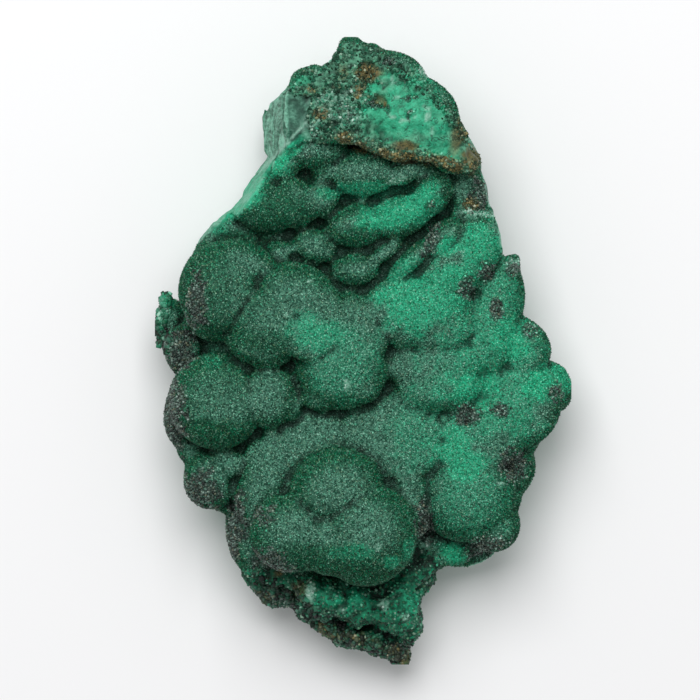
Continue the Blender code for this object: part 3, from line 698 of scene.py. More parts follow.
# Patches of each zone, as seen from above, millimetres from the middle of the resting face.
SHADES = {
    # Bright green: partly the stone's own colour, partly painted sheen where the velvet catches the light.
    Zone.EMERALD: (
        Patch("upper_left_glow", -7.9, 2.7, 5.2, 3.8, -20, 0.55),
        Patch("roll_two_glow", 7, 24.2, 7.7, 2.8, 12, 0.85),
        Patch("roll_two_end_glow", 11, 27.2, 3.5, 2.1, 45, 0.8),
        Patch("roll_one_glow", 1.7, 28, 8, 1.6, 4, 0.8),
        Patch("slope_strip", -13.3, 33.8, 5.6, 1.2, 46),
        Patch("north_bank_glow", 20.3, 18.4, 3.5, 4.9, 0, 0.8),
        Patch("east_dome_glow", 11, 9.2, 8.7, 6.3, 10, 0.75),
        Patch("ridge_glow", 15, 17.9, 1.6, 2.4, -30, 0.9),
        Patch("east_shelf_glow", 16.2, 13.2, 3.8, 2.8, 0, 0.8),
        Patch("east_slope_glow", 25.8, 1.8, 4.2, 4.5, 0, 0.9),
        Patch("east_tip_glow", 32.5, -5.8, 4.5, 3.8),
        Patch("east_low_glow", 19.6, -6.5, 5.2, 4.5, 0, 0.9),
        Patch("neck_glow", 15.4, -16.5, 4.5, 3.5, 0, 0.75),
        Patch("south_high_glow", 18.9, -19.5, 3.8, 3.5, 0, 0.75),
        Patch("south_bud_glow", 15.7, -35.4, 3, 2.3),
        Patch("belly_foot_glow", -1.7, -35.2, 4.5, 1.6, 0, 0.4),
        Patch("belly_foot_east_glow", 5.1, -36.9, 1.7, 1.2, 30, 0.8),
        Patch("belly_edge_east", 8, -34.5, 1.2, 2.4, -20, 0.6),
        Patch("crown_dome_glow", 7.5, 42, 7.3, 5.9, 0, 0.7),
        Patch("crown_east_glow", 13.6, 35, 3.8, 2.4, -25, 0.6),
        Patch("toe_west_glow", -8.2, -42.9, 1.6, 2.1, 0, 0.4),
        Patch("toe_mid_glow", -2.1, -43.6, 3.8, 1.7, 0, 0.6),
        Patch("toe_east_glow", 8.4, -43.6, 2.1, 2.8, 0, 0.5),
        Patch("west_dome_glow", -26.2, -1.7, 1.7, 2.1, 0, 0.3),
        Patch("fold_glow", -15.2, 31.5, 3.5, 1.4, 20, 0.5),
        Patch("east_wide", 21.5, 0.1, 10.8, 19.2, 0, 0.5),
        Patch("terrace_east_wide", 11.9, -13.9, 7.7, 8, 0, 0.3),
        Patch("south_east_wide", 18.9, -26.1, 7.3, 8, 0, 0.35),
        Patch("middle_wide", -3, -2.5, 6.3, 7, 0, 0.3),
        Patch("crown_mid_glow", 2.4, 45.8, 1.4, 1, 0, 0.8),
        Patch("crown_low_glow", 3.5, 40.6, 2.1, 1.7, 0, 0.6),
        Patch("crown_west_glow", -10.8, 46.9, 2.4, 1, 20, 0.5),
        # Painted highlight on the top-lit edge of the diagonal wall.
        Patch("diagonal_wall_glow", -21.3, 26.3, 7, 2.4, 48, 0.8),
        Patch("east_edge_glow", 27.6, -12.1, 3.1, 5.2, 0, 0.5),
        Patch("ear_glow", -35.3, 8.8, 3.1, 4.5, 0, 0.7)),
    Zone.DARK: (
        Patch("spot_middle", 18.5, -11.3, 2.4, 1.7, -20),
        Patch("spot_middle_east", 24.1, -10.7, 1.6, 1.4, 0, 0.9),
        Patch("spot_shelf", 23.6, 7.4, 1, 2.3),
        Patch("spot_shelf_west", 18.3, 11.1, 1.2, 2.1, 0, 0.9),
        Patch("spot_shelf_north", 21.8, 13.5, 1.4, 1.9, 0, 0.9),
        Patch("spot_east", 29, 3.1, 1.4, 1.4, 0, 0.8),
        Patch("spot_tip", 33.7, -7.2, 1.4, 1.4, 0, 0.9),
        Patch("spot_south", 26.2, -20, 2.3, 2.6, 0, 0.9),
        Patch("ridge_streak", 12.2, 19.3, 1, 2.8, -30, 0.8),
        Patch("shelf_north_east", 26.2, 14.4, 1.2, 1.4, 0, 0.7),
        Patch("roll_fleck", 11.9, 25.4, 1, 0.9, 0, 0.7),
        # Dark druse that also stands for painted shade on the shaded flank.
        Patch("west_rim_high", -28.8, 8.8, 1.7, 4.5, 0, 0.9),
        Patch("west_rim", -31.4, 0.4, 2.4, 3.8),
        Patch("west_dome_rim", -32.8, -10.7, 1.9, 6.3, 8),
        # Dark druse that also stands for painted shade on the shaded flank.
        Patch("low_west_rim", -28.3, -24.4, 3.1, 3.8),
        Patch("belly_west_rim", -22, -31.3, 1.9, 5.6, -8),
        Patch("belly_low_rim", -16.1, -36.6, 3.5, 2.1, -25, 0.7),
        Patch("belly_blue", -16.9, -28.7, 2.4, 1.7, 0, 0.45),
        Patch("groove", 11, -30.5, 1.4, 3.8, 0, 0.9),
        Patch("south_rim", 21.5, -34, 3.5, 1.6, 20, 0.9),
        Patch("crown_slope", -10, 35.4, 1.4, 2.1, 0, 0.35),
        Patch("crust_north_east", 20.3, 26.3, 2.4, 3.1, 0, 0.6),
        Patch("crown_back_edge", 5.8, 50.4, 2.4, 1, 0, 0.35),
        Patch("toe_tip_rim", 6.6, -52.6, 2.4, 1.7, 0, 0.6),
        Patch("toe_rim_west", -15.2, -43.6, 4.2, 1.7, -25, 0.5),
        Patch("crown_dot_one", 8, 44.1, 0.4, 0.4, 0, 0.9),
        Patch("crown_dot_two", 9.4, 44.1, 0.4, 0.4, 0, 0.9),
        Patch("crown_dot_three", 8.4, 41.6, 0.5, 0.5, 0, 0.8),
        Patch("crown_streak", 2.3, 43, 2.1, 0.7, -20, 0.8),
        Patch("crown_pit_edge", 4.5, 50.4, 1, 0.9, 0, 0.9)),
    Zone.RUST: (
        Patch("ledge_one", -3, 37.1, 1.6, 1.2),
        Patch("ledge_two", -0.3, 35.5, 2.4, 1, -20),
        Patch("ledge_three", 3.7, 34.3, 2.4, 1),
        Patch("ledge_four", 7.5, 33.6, 2.8, 1.2),
        Patch("ledge_five", 11.9, 33.3, 2.8, 1, -5, 0.9),
        Patch("ledge_six", 15.7, 32.4, 2.4, 1, -20),
        Patch("ledge_seven", 19.2, 33.3, 1.7, 2.4, 0, 0.9),
        Patch("ledge_bump", 7.5, 35.7, 2.1, 1.2, 0, 0.95),
        Patch("rim_east", 17.1, 38.2, 1.2, 4.2, -20, 0.75),
        Patch("ochre_hollow", 0.9, 48.6, 2.4, 1.7, 30),
        Patch("pit_rust", 3.1, 43.7, 1.4, 1, 0, 0.7),
        Patch("fleck_west", -8.7, 45.5, 1, 0.7, -20),
        Patch("fleck_low", -7.3, 41.6, 1.6, 1.4, 0, 0.9),
        Patch("fleck_top", -3.3, 48.6, 0.9, 1.4, 0, 0.5),
        Patch("fleck_mid", -0.7, 45.1, 1, 1, 0, 0.9),
        Patch("shelf_rust", 19.2, 25.4, 1.4, 1.2, 0, 0.8),
        Patch("toe_rim_one", -17.5, -43.2, 1.7, 1.7, 0, 0.35),
        Patch("toe_rim_two", -10.8, -41.8, 2.4, 1.4, 20, 0.5),
        Patch("toe_rim_three", -5.6, -49.2, 2.8, 1.6, -25, 0.55),
        Patch("toe_rim_four", 0, -50.5, 3.1, 1.4, -5, 0.5),
        Patch("toe_rim_five", 5.2, -52.6, 2.4, 1.4, -20, 0.55),
        Patch("toe_tip", 7.5, -53.7, 1.4, 1.2, 0, 0.7),
        Patch("toe_hollow", -14.7, -38.8, 0.9, 0.7, 0, 0.9),
        Patch("fleck_pit", 4, 43, 0.5, 0.7),
        Patch("fleck_high", 0, 46.2, 0.7, 0.5, 0, 0.9)),
    Zone.PALE: (
        Patch("crown_sparkle_one", 5.9, 44.1, 0.9, 0.3, 20, 0.7),
        Patch("crown_sparkle_two", 11.3, 42.3, 0.3, 1, 60, 0.7),
        Patch("crown_sparkle_three", 5.4, 40.8, 0.7, 0.3, -20, 0.9),
        Patch("crown_sparkle_four", 12.2, 38.5, 0.3, 1, 20, 0.6),
        Patch("crown_sparkle_five", 11, 48.5, 1, 1, 0, 0.9),
        Patch("crown_sparkle_six", 5.4, 46.9, 0.3, 0.9, 0, 0.7),
        Patch("crown_rough_one", -4.7, 43.7, 3.8, 1.7, 10, 0.45),
        Patch("crown_rough_two", -3, 41.1, 2.8, 1.7, 0, 0.45),
        Patch("crown_rough_three", -8.7, 38.8, 1.7, 2.1, 0, 0.4),
        Patch("shelf_line", 20.3, 24, 2.4, 0.5, -8),
        Patch("oval_edge", 6.3, 29.8, 2.1, 0.7, 15, 0.5),
        Patch("crease_tuft", -9.3, 12.1, 0.4, 0.4),
        Patch("middle_tuft", -2.6, -6.2, 0.3, 0.9),
        Patch("upper_tuft", -13.3, 6.2, 0.3, 0.3, 0, 0.9),
        Patch("west_tuft", -23.4, -9.9, 0.3, 0.3),
        Patch("terrace_tuft", 1.9, -10, 0.3, 0.2, 0, 0.9),
        Patch("south_tuft", 15, -20.5, 0.3, 0.3, 0, 0.9),
        Patch("south_east_tuft", 23.7, -23.1, 1, 0.3, -10, 0.9),
        Patch("south_rim_tuft", 24.1, -32.6, 1, 0.3, 15),
        Patch("east_tuft", 26.7, 15.5, 0.9, 0.5, 0, 0.9),
        Patch("belly_tuft", 2.8, -34.5, 0.5, 1, 0, 0.8),
        Patch("toe_tuft_one", -8.9, -42.3, 0.7, 1.4),
        Patch("toe_tuft_two", 3.8, -44.4, 0.9, 1, 0, 0.9),
        Patch("toe_tuft_three", 7.5, -46.5, 0.9, 0.7, 0, 0.6),
        Patch("toe_tuft_four", -3.7, -45.3, 0.9, 0.7, 0, 0.5),
        Patch("groove_sill", 11, -34, 0.9, 1.4, 0, 0.4),
        # Painted highlight on the top-lit edge of the wall.
        Patch("wall_top_painted_highlight", -20.3, 26.6, 1.2, 0.5, 45, 0.4),
        Patch("ear_light", -35.3, 7.1, 1.4, 2.1, 0, 0.6),
        Patch("crown_line_one", 7.5, 40.2, 1.4, 0.3, 20, 0.7),
        Patch("crown_line_two", 11.5, 40.6, 0.5, 0.5, 0, 0.9),
        # Painted highlight along the top-lit crest of the wall.
        Patch("wall_crest_painted_highlight", -14.3, 35, 5.9, 0.3, 47, 0.8),
        Patch("ear_knobs_light", -36.7, 8.8, 1.4, 3.5, 0, 0.5)),
    # Painted shade: patches on the shaded flanks, where the painted sheen is taken off and the velvet stays
    # deep green.
    Zone.PAINTED_SHADE: (
        Patch("roll_west_deep", -15.7, 25.1, 8, 3.8, -8, 0.85),
        Patch("upper_left_deep", -26.2, 9.7, 3.8, 7.3, 0, 0.6),
        Patch("left_low_deep", -17.5, 1.8, 7.3, 2.1, -5, 0.6),
        Patch("roll_one_deep", 4, 28.4, 10.8, 1.7, 4, 0.95),
        Patch("roll_two_deep", 2.3, 21, 9.1, 1.9, 14, 0.9),
        Patch("fold_west_deep", -19.9, 19.3, 5.6, 1.9, -8, 0.9),
        Patch("fold_mid_deep", -8.7, 15.5, 3.8, 1.4, 0, 0.7),
        Patch("oval_deep", -1.7, 12.3, 4.5, 1.6, 8, 0.6),
        Patch("belly_brow_deep", -7.7, -18.4, 5.9, 1.6, 25, 0.5),
        Patch("belly_west_deep", -16.1, -26.1, 1.7, 2.8, -20, 0.6),
        Patch("belly_low_deep", -3.8, -35.9, 10.8, 2.4, -4, 0.75),
        Patch("west_low_deep", -25.8, -14.6, 5.6, 3, -4, 0.95),
        Patch("west_dome_deep", -27.4, -7.2, 6.3, 5.2, 0, 0.3),
        Patch("left_dome_deep", -21.3, 8.8, 8, 5.9, 0, 0.3),
        Patch("middle_low_deep", -2.8, -9.2, 4.9, 1.6, 0, 0.6),
        Patch("crust_slope_deep", -10.8, 31.2, 5.6, 2.1, 20, 0.75),
        Patch("low_west_deep", -27.4, -26.1, 3.1, 1.7, 0, 0.6)),
}


@dataclass
class Surface:
    """Points of a surface with their zones, all in millimetres."""

    points: Array
    normals: Array
    zones: dict[Zone, Array] = field(default_factory=dict)
    depth: Array | None = None      # below the grown surface
    hollow: Array | None = None     # 0 on a rise to 1 in a crease, for the painted crease shade

    def pick(self, chosen: Array) -> "Surface":
        """The chosen points, with their zones."""
        zones = {zone: values[chosen] for zone, values in self.zones.items()}
        return Surface(self.points[chosen], self.normals[chosen], zones, self.depth[chosen],
                       self.hollow[chosen])

    def crease_rise(self, edges: Array, passes: int) -> Array:
        """How far each point would rise if the surface were smoothed, which is most in a crease.

        Args:
            edges: Edges of the surface, two point numbers a row.
            passes: Smoothing passes, more for wider creases.

        Returns:
            One number a point in millimetres, below 0 on a ridge.
        """
        first, second = edges[:, 0], edges[:, 1]
        count = len(self.points)
        friends = np.bincount(first, minlength=count) + np.bincount(second, minlength=count)
        smoothed = self.points.copy()
        for _ in range(passes):
            for axis in range(3):
                total = np.bincount(first, smoothed[second, axis], count)
                total += np.bincount(second, smoothed[first, axis], count)
                smoothed[:, axis] = 0.5 * smoothed[:, axis] + 0.5 * total / np.maximum(friends, 1)
        return ((smoothed - self.points) * self.normals).sum(axis=1)


@dataclass(frozen=True)
class ZoneMap:
    """Works out which zones a point lies in, from the forms and the named patches."""

    growths: tuple[Growth, ...]
    breaks: tuple[Break, ...]
    crust_outline: tuple[tuple[float, float], ...]
    toe_outline: tuple[tuple[float, float], ...]
    shades: dict[Zone, tuple[Patch, ...]]
    crust_floor: float = 25.5                           # height over which the crown's crust starts
    crust_edge: float = 1.2
    toe_ceiling: float = 19.5
    toe_edge: float = 1.6
    toe_waver: float = 0.8
    toe_broken: float = 0.7                             # share of the toe that a broken face clears
    edge_height: float = 1.0                            # half height over which floor and ceiling fade
    break_depth: float = 0.9
    bare_depth: float = 1.3                             # beyond the lumps by this much is bare matrix
    bare_slopes: tuple[float, float] = (0.6, 0.25)      # upward look at which matrix shows, none to full
    under_slopes: tuple[float, float] = (-0.25, -0.6)
    upper_slopes: tuple[float, float] = (-0.2, 0.2)
    # Upward look over which the painted sheen comes in, none to full.
    painted_sheen_slopes: tuple[float, float] = (0.52, 1.0)
    broad_waves: tuple[float, int] = (3.2, 3)           # width, and number of scales
    fine_waves: tuple[float, int] = (1.3, 2)
    finest_waves: tuple[float, int] = (0.55, 1)
    deep_wavers: tuple[float, float] = (0.8, 0.4)       # broad and fine
    ragged: dict[Zone, tuple[float, float, float]] = field(default_factory=lambda: {
        Zone.EMERALD: (1.3, 1.0, 0.3), Zone.DARK: (0.9, 2.2, 1.0),
        Zone.RUST: (0.6, 1.3, 0.6), Zone.PALE: (0.4, 1.0, 2.2)})    # broad, fine and finest

    def depth(self, points: Array) -> Array:
        """Rough depth of points below the grown surface.

        Args:
            points: Places in millimetres, three numbers a row.

        Returns:
            One number a point in millimetres, below 0 outside every lump.
        """
        deepest = np.full(len(points), -1e3)
        for growth in self.growths:
            for lump in growth.lumps:
                np.maximum(deepest, lump.depth(points, growth.dip), out=deepest)
        return deepest

    def shade(self, zone: Zone, points: Array, waver: Array) -> Array:
        """Strongest cover that a zone's patches give to points.

        Args:
            zone: Whose patches are looked at.
            points: Places in millimetres, three numbers a row.
            waver: Numbers from -1 to 1 that shift the edges in and out.

        Returns:
            One number from 0 to 1 a point.
        """
        cover = np.zeros(len(points))
        for patch in self.shades.get(zone, ()):
            np.maximum(cover, patch.cover(points, waver), out=cover)
        return cover

    def read(self, surface: Surface) -> Surface:
        """Fill in the zones of a surface.

        Args:
            surface: Points and normals, in millimetres.

        Returns:
            The same surface, with its depth and one array of 0 to 1 a zone.
        """
        points = surface.points
        up = surface.normals[:, 2]
        waver = Noise(SEED).fractal(points, *self.broad_waves)
        fine = Noise(SEED + 1).fractal(points, *self.fine_waves)
        finest = Noise(SEED + 6).fractal(points, *self.finest_waves)
        surface.depth = self.depth(points)

        broken = np.zeros(len(points))
        for face in self.breaks:
            np.maximum(broken, face.nearness(points, self.break_depth), out=broken)
        bare = smooth_step(self.bare_depth, 2.0 * self.bare_depth, -surface.depth)
        bare *= smooth_step(*self.bare_slopes, up)
        under = smooth_step(*self.under_slopes, up)
        broken = np.maximum(broken, np.maximum(bare, under))

        crust = inside_outline(points, self.crust_outline, self.crust_edge)
        crust *= smooth_step(self.crust_floor - self.edge_height, self.crust_floor + self.edge_height,
                             points[:, 2])
        crust *= 1.0 - broken
        toe = inside_outline(points, self.toe_outline, self.toe_edge)
        toe *= smooth_step(self.toe_ceiling + self.edge_height, self.toe_ceiling - self.edge_height,
                           points[:, 2] + self.toe_waver * waver)
        toe = np.maximum(toe, self.shade(Zone.TOE, points, waver)) * (1.0 - self.toe_broken * broken)

        zones = surface.zones
        zones[Zone.BROKEN] = broken
        zones[Zone.CRUST] = crust
        zones[Zone.TOE] = toe
        zones[Zone.VELVET] = np.clip((1.0 - broken) * (1.0 - crust) * (1.0 - toe), 0.0, 1.0)
        # Painted sheen on what faces up, taken off where the painted-shade patches lie.
        deep_broad, deep_fine = self.deep_wavers
        deep = self.shade(Zone.PAINTED_SHADE, points, deep_broad * waver + deep_fine * fine)
        zones[Zone.PAINTED_SHEEN] = smooth_step(*self.painted_sheen_slopes, up) * (1.0 - deep)
        upper = smooth_step(*self.upper_slopes, up)
        for zone, (broad_share, fine_share, finest_share) in self.ragged.items():
            shift = broad_share * waver + fine_share * fine + finest_share * finest
            zones[zone] = upper * self.shade(zone, points, shift)
        return surface


# ---- meshes -------------------------------------------------------------------------------------------

def new_object(name: str, data: bpy.types.ID) -> bpy.types.Object:
    """Put a mesh, curve, lamp or camera into the scene.

    Args:
        name: Name of the object.
        data: What it shows.

    Returns:
        The new object.
    """
    made = bpy.data.objects.new(name, data)
    bpy.context.scene.collection.objects.link(made)
    return made


def settled_mesh(scene_object: bpy.types.Object) -> bpy.types.Mesh:
    """Take an object out of the scene and keep its mesh as the modifiers leave it.

    Args:
        scene_object: A mesh or curve with its modifiers.

    Returns:
        The mesh that it ends as.
    """
    bpy.context.view_layer.update()
    evaluated = scene_object.evaluated_get(bpy.context.evaluated_depsgraph_get())
    mesh = bpy.data.meshes.new_from_object(evaluated)
    bpy.data.objects.remove(scene_object, do_unlink=True)
    return mesh


@lru_cache(maxsize=None)
def ball_form(subdivisions: int) -> tuple[Array, Array]:
    """Vertices and outward triangles of a ball of radius 1.

    Args:
        subdivisions: Fineness of the ball, 1 for twenty faces.

    Returns:
        Vertices, three numbers a row, and triangles, three vertex numbers a row.
    """
    ball = bmesh.new()
    bmesh.ops.create_icosphere(ball, subdivisions=subdivisions, radius=1.0)
    points = np.array([vert.co for vert in ball.verts])
    corners = np.array([[vert.index for vert in face.verts] for face in ball.faces])
    ball.free()
    return points, corners


class Soup:
    """Closed shells that overlap, gathered as arrays and fused later."""

    def __init__(self) -> None:
        """Start with nothing."""
        self.points: list[Array] = []
        self.corners: list[Array] = []
        self.count = 0

    def add(self, points: Array, corners: Array) -> None:
        """Add one shell.

        Args:
            points: Its vertices in millimetres, three numbers a row.
            corners: Its triangles, three vertex numbers a row.
        """
        self.points.append(points)
        self.corners.append(corners + self.count)
        self.count += len(points)

    def add_ball(self, centre: Sequence[float], half_sizes: Sequence[float], turn: float,
                 subdivisions: int, dip: float = 0.0) -> None:
        """Add one closed ellipsoid, sheared so that it dips along -Y.

        Args:
            centre: Middle of the ball, millimetres.
            half_sizes: Its three half sizes, millimetres.
            turn: Turn about the upright axis, degrees.
            subdivisions: Fineness of the ball.
            dip: Rise along -Y, a share of the way.
        """
        form, corners = ball_form(subdivisions)
        spin = np.array(Matrix.Rotation(math.radians(turn), 3, "Z"))
        points = (form * half_sizes) @ spin.T
        points[:, 2] -= dip * points[:, 1]
        self.add(points + centre, corners)

    def add_mesh(self, mesh: bpy.types.Mesh) -> None:
        """Add a mesh as a shell, and remove the mesh."""
        self.add(read_points(mesh), read_corners(mesh))
        bpy.data.meshes.remove(mesh)

    def mesh(self, name: str) -> bpy.types.Mesh:
        """All shells as one mesh."""
        return triangle_mesh(name, np.vstack(self.points), np.vstack(self.corners))


def add_remesh(shell: bpy.types.Object, voxel: float) -> None:
    """Fuse or even out a mesh on a grid.

    Args:
        shell: The mesh's object.
        voxel: Step of the grid, millimetres.
    """
    remesh = shell.modifiers.new("fuse", "REMESH")
    remesh.mode = "VOXEL"
    remesh.voxel_size = voxel * MM


def add_smooth(shell: bpy.types.Object, passes: int) -> None:
    """Soften a mesh.

    Args:
        shell: The mesh's object.
        passes: How many times each vertex goes halfway to its neighbours' middle.
    """
    soften = shell.modifiers.new("soften", "SMOOTH")
    soften.factor = 0.5
    soften.iterations = passes


def read_rows(items: bpy.types.bpy_prop_collection, key: str, width: int, kind: type) -> Array:
    """Read one property of all vertices, edges or triangles at once.

    Args:
        items: The mesh's collection.
        key: Name of the property.
        width: Numbers that each item has.
        kind: Type that the collection keeps them in.

    Returns:
        One row an item.
    """
    flat = np.empty(len(items) * width, kind)
    items.foreach_get(key, flat)
    return flat.reshape(-1, width)


def read_points(mesh: bpy.types.Mesh) -> Array:
    """Vertices of a mesh in millimetres, three numbers a row."""
    return read_rows(mesh.vertices, "co", 3, np.float32).astype(float) / MM


def read_normals(mesh: bpy.types.Mesh) -> Array:
    """Vertex normals of a mesh, three numbers a row."""
    return read_rows(mesh.vertex_normals, "vector", 3, np.float32).astype(float)


def read_edges(mesh: bpy.types.Mesh) -> Array:
    """Edges of a mesh, two vertex numbers a row."""
    return read_rows(mesh.edges, "vertices", 2, np.int32)


def read_corners(mesh: bpy.types.Mesh) -> Array:
    """Triangles of a mesh, three vertex numbers a row."""
    mesh.calc_loop_triangles()
    return read_rows(mesh.loop_triangles, "vertices", 3, np.int32)


def write_points(mesh: bpy.types.Mesh, points: Array) -> None:
    """Move the vertices of a mesh to places in millimetres."""
    mesh.vertices.foreach_set("co", (points * MM).astype(np.float32).ravel())
    mesh.update()


def write_value(mesh: bpy.types.Mesh, name: str, values: Array) -> None:
    """Store numbers that the materials read.

    Args:
        mesh: Mesh that keeps them.
        name: Name that the materials know them by.
        values: One number a vertex.
    """
    layer = mesh.attributes.new(name, "FLOAT", "POINT")
    layer.data.foreach_set("value", values.astype(np.float32))


def triangle_mesh(name: str, points: Array, corners: Array) -> bpy.types.Mesh:
    """Make a mesh of triangles from arrays.

    Args:
        name: Name of the mesh.
        points: Vertices in millimetres, three numbers a row.
        corners: Vertex numbers, three a row.

    Returns:
        The new mesh.
    """
    mesh = bpy.data.meshes.new(name)
    mesh.vertices.add(len(points))
    mesh.loops.add(corners.size)
    mesh.polygons.add(len(corners))
    mesh.vertices.foreach_set("co", (points * MM).astype(np.float32).ravel())
    mesh.loops.foreach_set("vertex_index", corners.astype(np.int32).ravel())
    mesh.polygons.foreach_set("loop_start", np.arange(0, corners.size, 3, dtype=np.int32))
    mesh.update(calc_edges=True)
    return mesh


# ---- the grown body -----------------------------------------------------------------------------------

@dataclass
class GrownBody:
    """The one grown piece: lumps fused on broken matrix, with its broken faces, pits and relief."""

    zone_map: ZoneMap
    finish: "BodyFinish"
    grain: float = 0.5                                  # voxel of the mesh
    softness: int = 2                                   # smoothing passes of the fused body
    lump_fineness: int = 4
    knob_fineness: int = 2
    knob_flatness: tuple[float, float] = (0.7, 1.0)
    knob_sunk: float = 0.25                             # share of its radius that a knob sits deeper
    bed_height: float = 6.0                             # surface height where no lump is
    slab_edge: float = 1.6
    slab_relief: float = 2.2
    slab_relief_spacing: float = 7.0
    swell_waves: tuple[float, int] = (4.5, 3)           # width, and number of scales
    crumb_waves: tuple[float, int] = (2.4, 3)
    grit_waves: tuple[float, int] = (1.25, 2)
    bubble_waves: tuple[float, int] = (3.2, 2)
    wander_waves: tuple[float, int] = (5.0, 2)
    bubble_fold: float = 1.6                            # how sharply the bubbles meet
    relief_middle: float = 0.1                          # noise that neither lifts nor lowers
    velvet_inset: float = 0.16                          # room for the crystals under the solid's surface
    velvet_swell: float = 0.12
    velvet_crumb: float = 0.05
    crust_relief: float = 0.5
    crust_crumb: float = 0.6                            # added where no green covers the crust
    toe_relief: float = 1.0
    grit_relief: float = 0.38                           # small unevenness of the crusts
    dark_relief: float = 0.15
    band_relief: float = 0.1
    band_spacing: float = 1.4
    broken_relief: float = 0.35
    # crease_passes and crease_rises only set the painted crease shade; the others deepen the creases in the
    # mesh.
    crease_passes: int = 4
    crease_rises: tuple[float, float] = (0.02, 0.17)    # rises where a crease starts and is deep
    crease_reach: int = 12                              # smoothing passes that find what is deepened
    crease_gain: float = 3.4
    crease_least: float = 0.04
    crease_most: float = 0.34
    pit_gain: float = 6.0                               # how much a hole between lumps is filled
    stain_fill: float = 2.0                             # the same for a stained hollow in the crust
    surface: Surface | None = None

    def growth_shell(self, growth: Growth) -> bpy.types.Mesh:
        """Make one family of lumps.

        Args:
            growth: Its lumps, dip and softness.

        Returns:
            A closed mesh, its creases softened.
        """
        soup = Soup()
        for lump in growth.lumps:
            centre = (lump.x, lump.y, lump.top - lump.half_z)
            sizes = (lump.half_x, lump.half_y, lump.half_z)
            soup.add_ball(centre, sizes, lump.turn, self.lump_fineness, growth.dip)
        shell = new_object(growth.name, soup.mesh(growth.name))
        add_remesh(shell, self.grain)
        add_smooth(shell, growth.softness)
        return settled_mesh(shell)

    def slab_shell(self, slab: Slab, unevenness: bpy.types.Texture) -> bpy.types.Mesh:
        """Make one block of matrix.

        Args:
            slab: Its outline, heights and foot.
            unevenness: Texture that pushes its faces in and out.

        Returns:
            A closed mesh.
        """
        curve = bpy.data.curves.new(slab.name, "CURVE")
        curve.dimensions = "2D"
        curve.fill_mode = "BOTH"
        curve.extrude = (slab.top - slab.bottom) / 2.0 * MM
        spline = curve.splines.new("POLY")
        spline.points.add(len(slab.outline) - 1)
        for point, (x, y) in zip(spline.points, slab.outline):
            point.co = (x * MM, y * MM, 0.0, 1.0)
        spline.use_cyclic_u = True
        mesh = settled_mesh(new_object(slab.name, curve))
        mesh.transform(Matrix.Translation((0.0, 0.0, (slab.top + slab.bottom) / 2.0 * MM)))

        block = bmesh.new()
        block.from_mesh(mesh)
        bmesh.ops.remove_doubles(block, verts=block.verts, dist=SAME_PLACE)
        middle = sum((vert.co for vert in block.verts), Vector()) / len(block.verts)
        for vert in block.verts:
            if vert.co.z < middle.z:
                vert.co.x = middle.x + (vert.co.x - middle.x) * slab.foot_scale
                vert.co.y = middle.y + (vert.co.y - middle.y) * slab.foot_scale
        block.to_mesh(mesh)
        block.free()

        shell = new_object(slab.name, mesh)
        add_remesh(shell, self.slab_edge)
        displace = shell.modifiers.new("relief", "DISPLACE")
        displace.texture = unevenness
        displace.texture_coords = "LOCAL"
        displace.strength = self.slab_relief * MM
        displace.mid_level = 0.5
        return settled_mesh(shell)

    def surface_height(self, x: float, y: float) -> float:
        """Find the grown surface over a place.

        Args:
            x: Place along the width, millimetres.
            y: Place along the length, millimetres.

        Returns:
            Its height in millimetres.
        """
        heights = [lump.height_at(x, y, growth.dip) for growth in self.zone_map.growths
                   for lump in growth.lumps]
        return max((height for height in heights if height is not None), default=self.bed_height)

    def add_knobs(self, soup: Soup, band: KnobBand, chance: random.Random) -> None:
        """Strew a band's knobs along its path, half sunk into the surface.

        Args:
            soup: Mesh that takes the knobs.
            band: Where they lie and how large they are.
            chance: Source of their places and sizes.
        """
        for _ in range(band.count):
            spot = band.spot(chance.random())
            x = spot.x + chance.gauss(0.0, band.spread / 2.0)
            y = spot.y + chance.gauss(0.0, band.spread / 2.0)
            radius = chance.uniform(band.smallest, band.largest)
            flatness = chance.uniform(*self.knob_flatness)
            height = self.surface_height(x, y) - self.knob_sunk * radius
            sizes = (radius, radius * flatness, radius)
            soup.add_ball((x, y, height), sizes, chance.uniform(0, HALF_TURN), self.knob_fineness)

    def cut(self, body: bpy.types.Object, cutter: bpy.types.Object) -> bpy.types.Object:
        """Take a cutter out of the body, and the cutter out of the scene.

        Args:
            body: What is cut.
            cutter: Closed shape that goes.

        Returns:
            The body as it is left, under the same name.
        """
        knife = body.modifiers.new("cut", "BOOLEAN")
        knife.operation = "DIFFERENCE"
        knife.solver = "MANIFOLD"
        knife.object = cutter
        name = body.name
        mesh = settled_mesh(body)
        bpy.data.objects.remove(cutter, do_unlink=True)
        return new_object(name, mesh)

    def break_box(self, face: Break) -> bpy.types.Object:
        """Make the cutter of one broken face.

        Args:
            face: Where the face is and how it is turned.

        Returns:
            A box that takes what lies beyond the face.
        """
        soup = bmesh.new()
        bmesh.ops.create_cube(soup, size=1.0)
        mesh = bpy.data.meshes.new(face.name)
        soup.to_mesh(mesh)
        soup.free()
        box = new_object(face.name, mesh)
        outwards = face.turn().to_matrix() @ Vector((1.0, 0.0, 0.0))
        box.rotation_euler = face.turn()
        box.scale = Vector((face.reach, face.width, face.height)) * MM
        box.location = (Vector((face.x, face.y, face.z)) + outwards * face.reach / 2.0) * MM
        return box

    def pit_balls(self, pits: Iterable[Pit]) -> bpy.types.Object:
        """Make the cutter of the pits.

        Args:
            pits: Their places, radii and depths.

        Returns:
            All pits as one object of separate balls.
        """
        soup = Soup()
        for pit in pits:
            height = self.surface_height(pit.x, pit.y) + pit.radius - pit.depth
            soup.add_ball((pit.x, pit.y, height), (pit.radius,) * 3, 0.0, self.knob_fineness)
        return new_object("pits", soup.mesh("pits"))

    def floor_box(self) -> bpy.types.Object:
        """Box below the resting face."""
        return self.break_box(FLOOR)

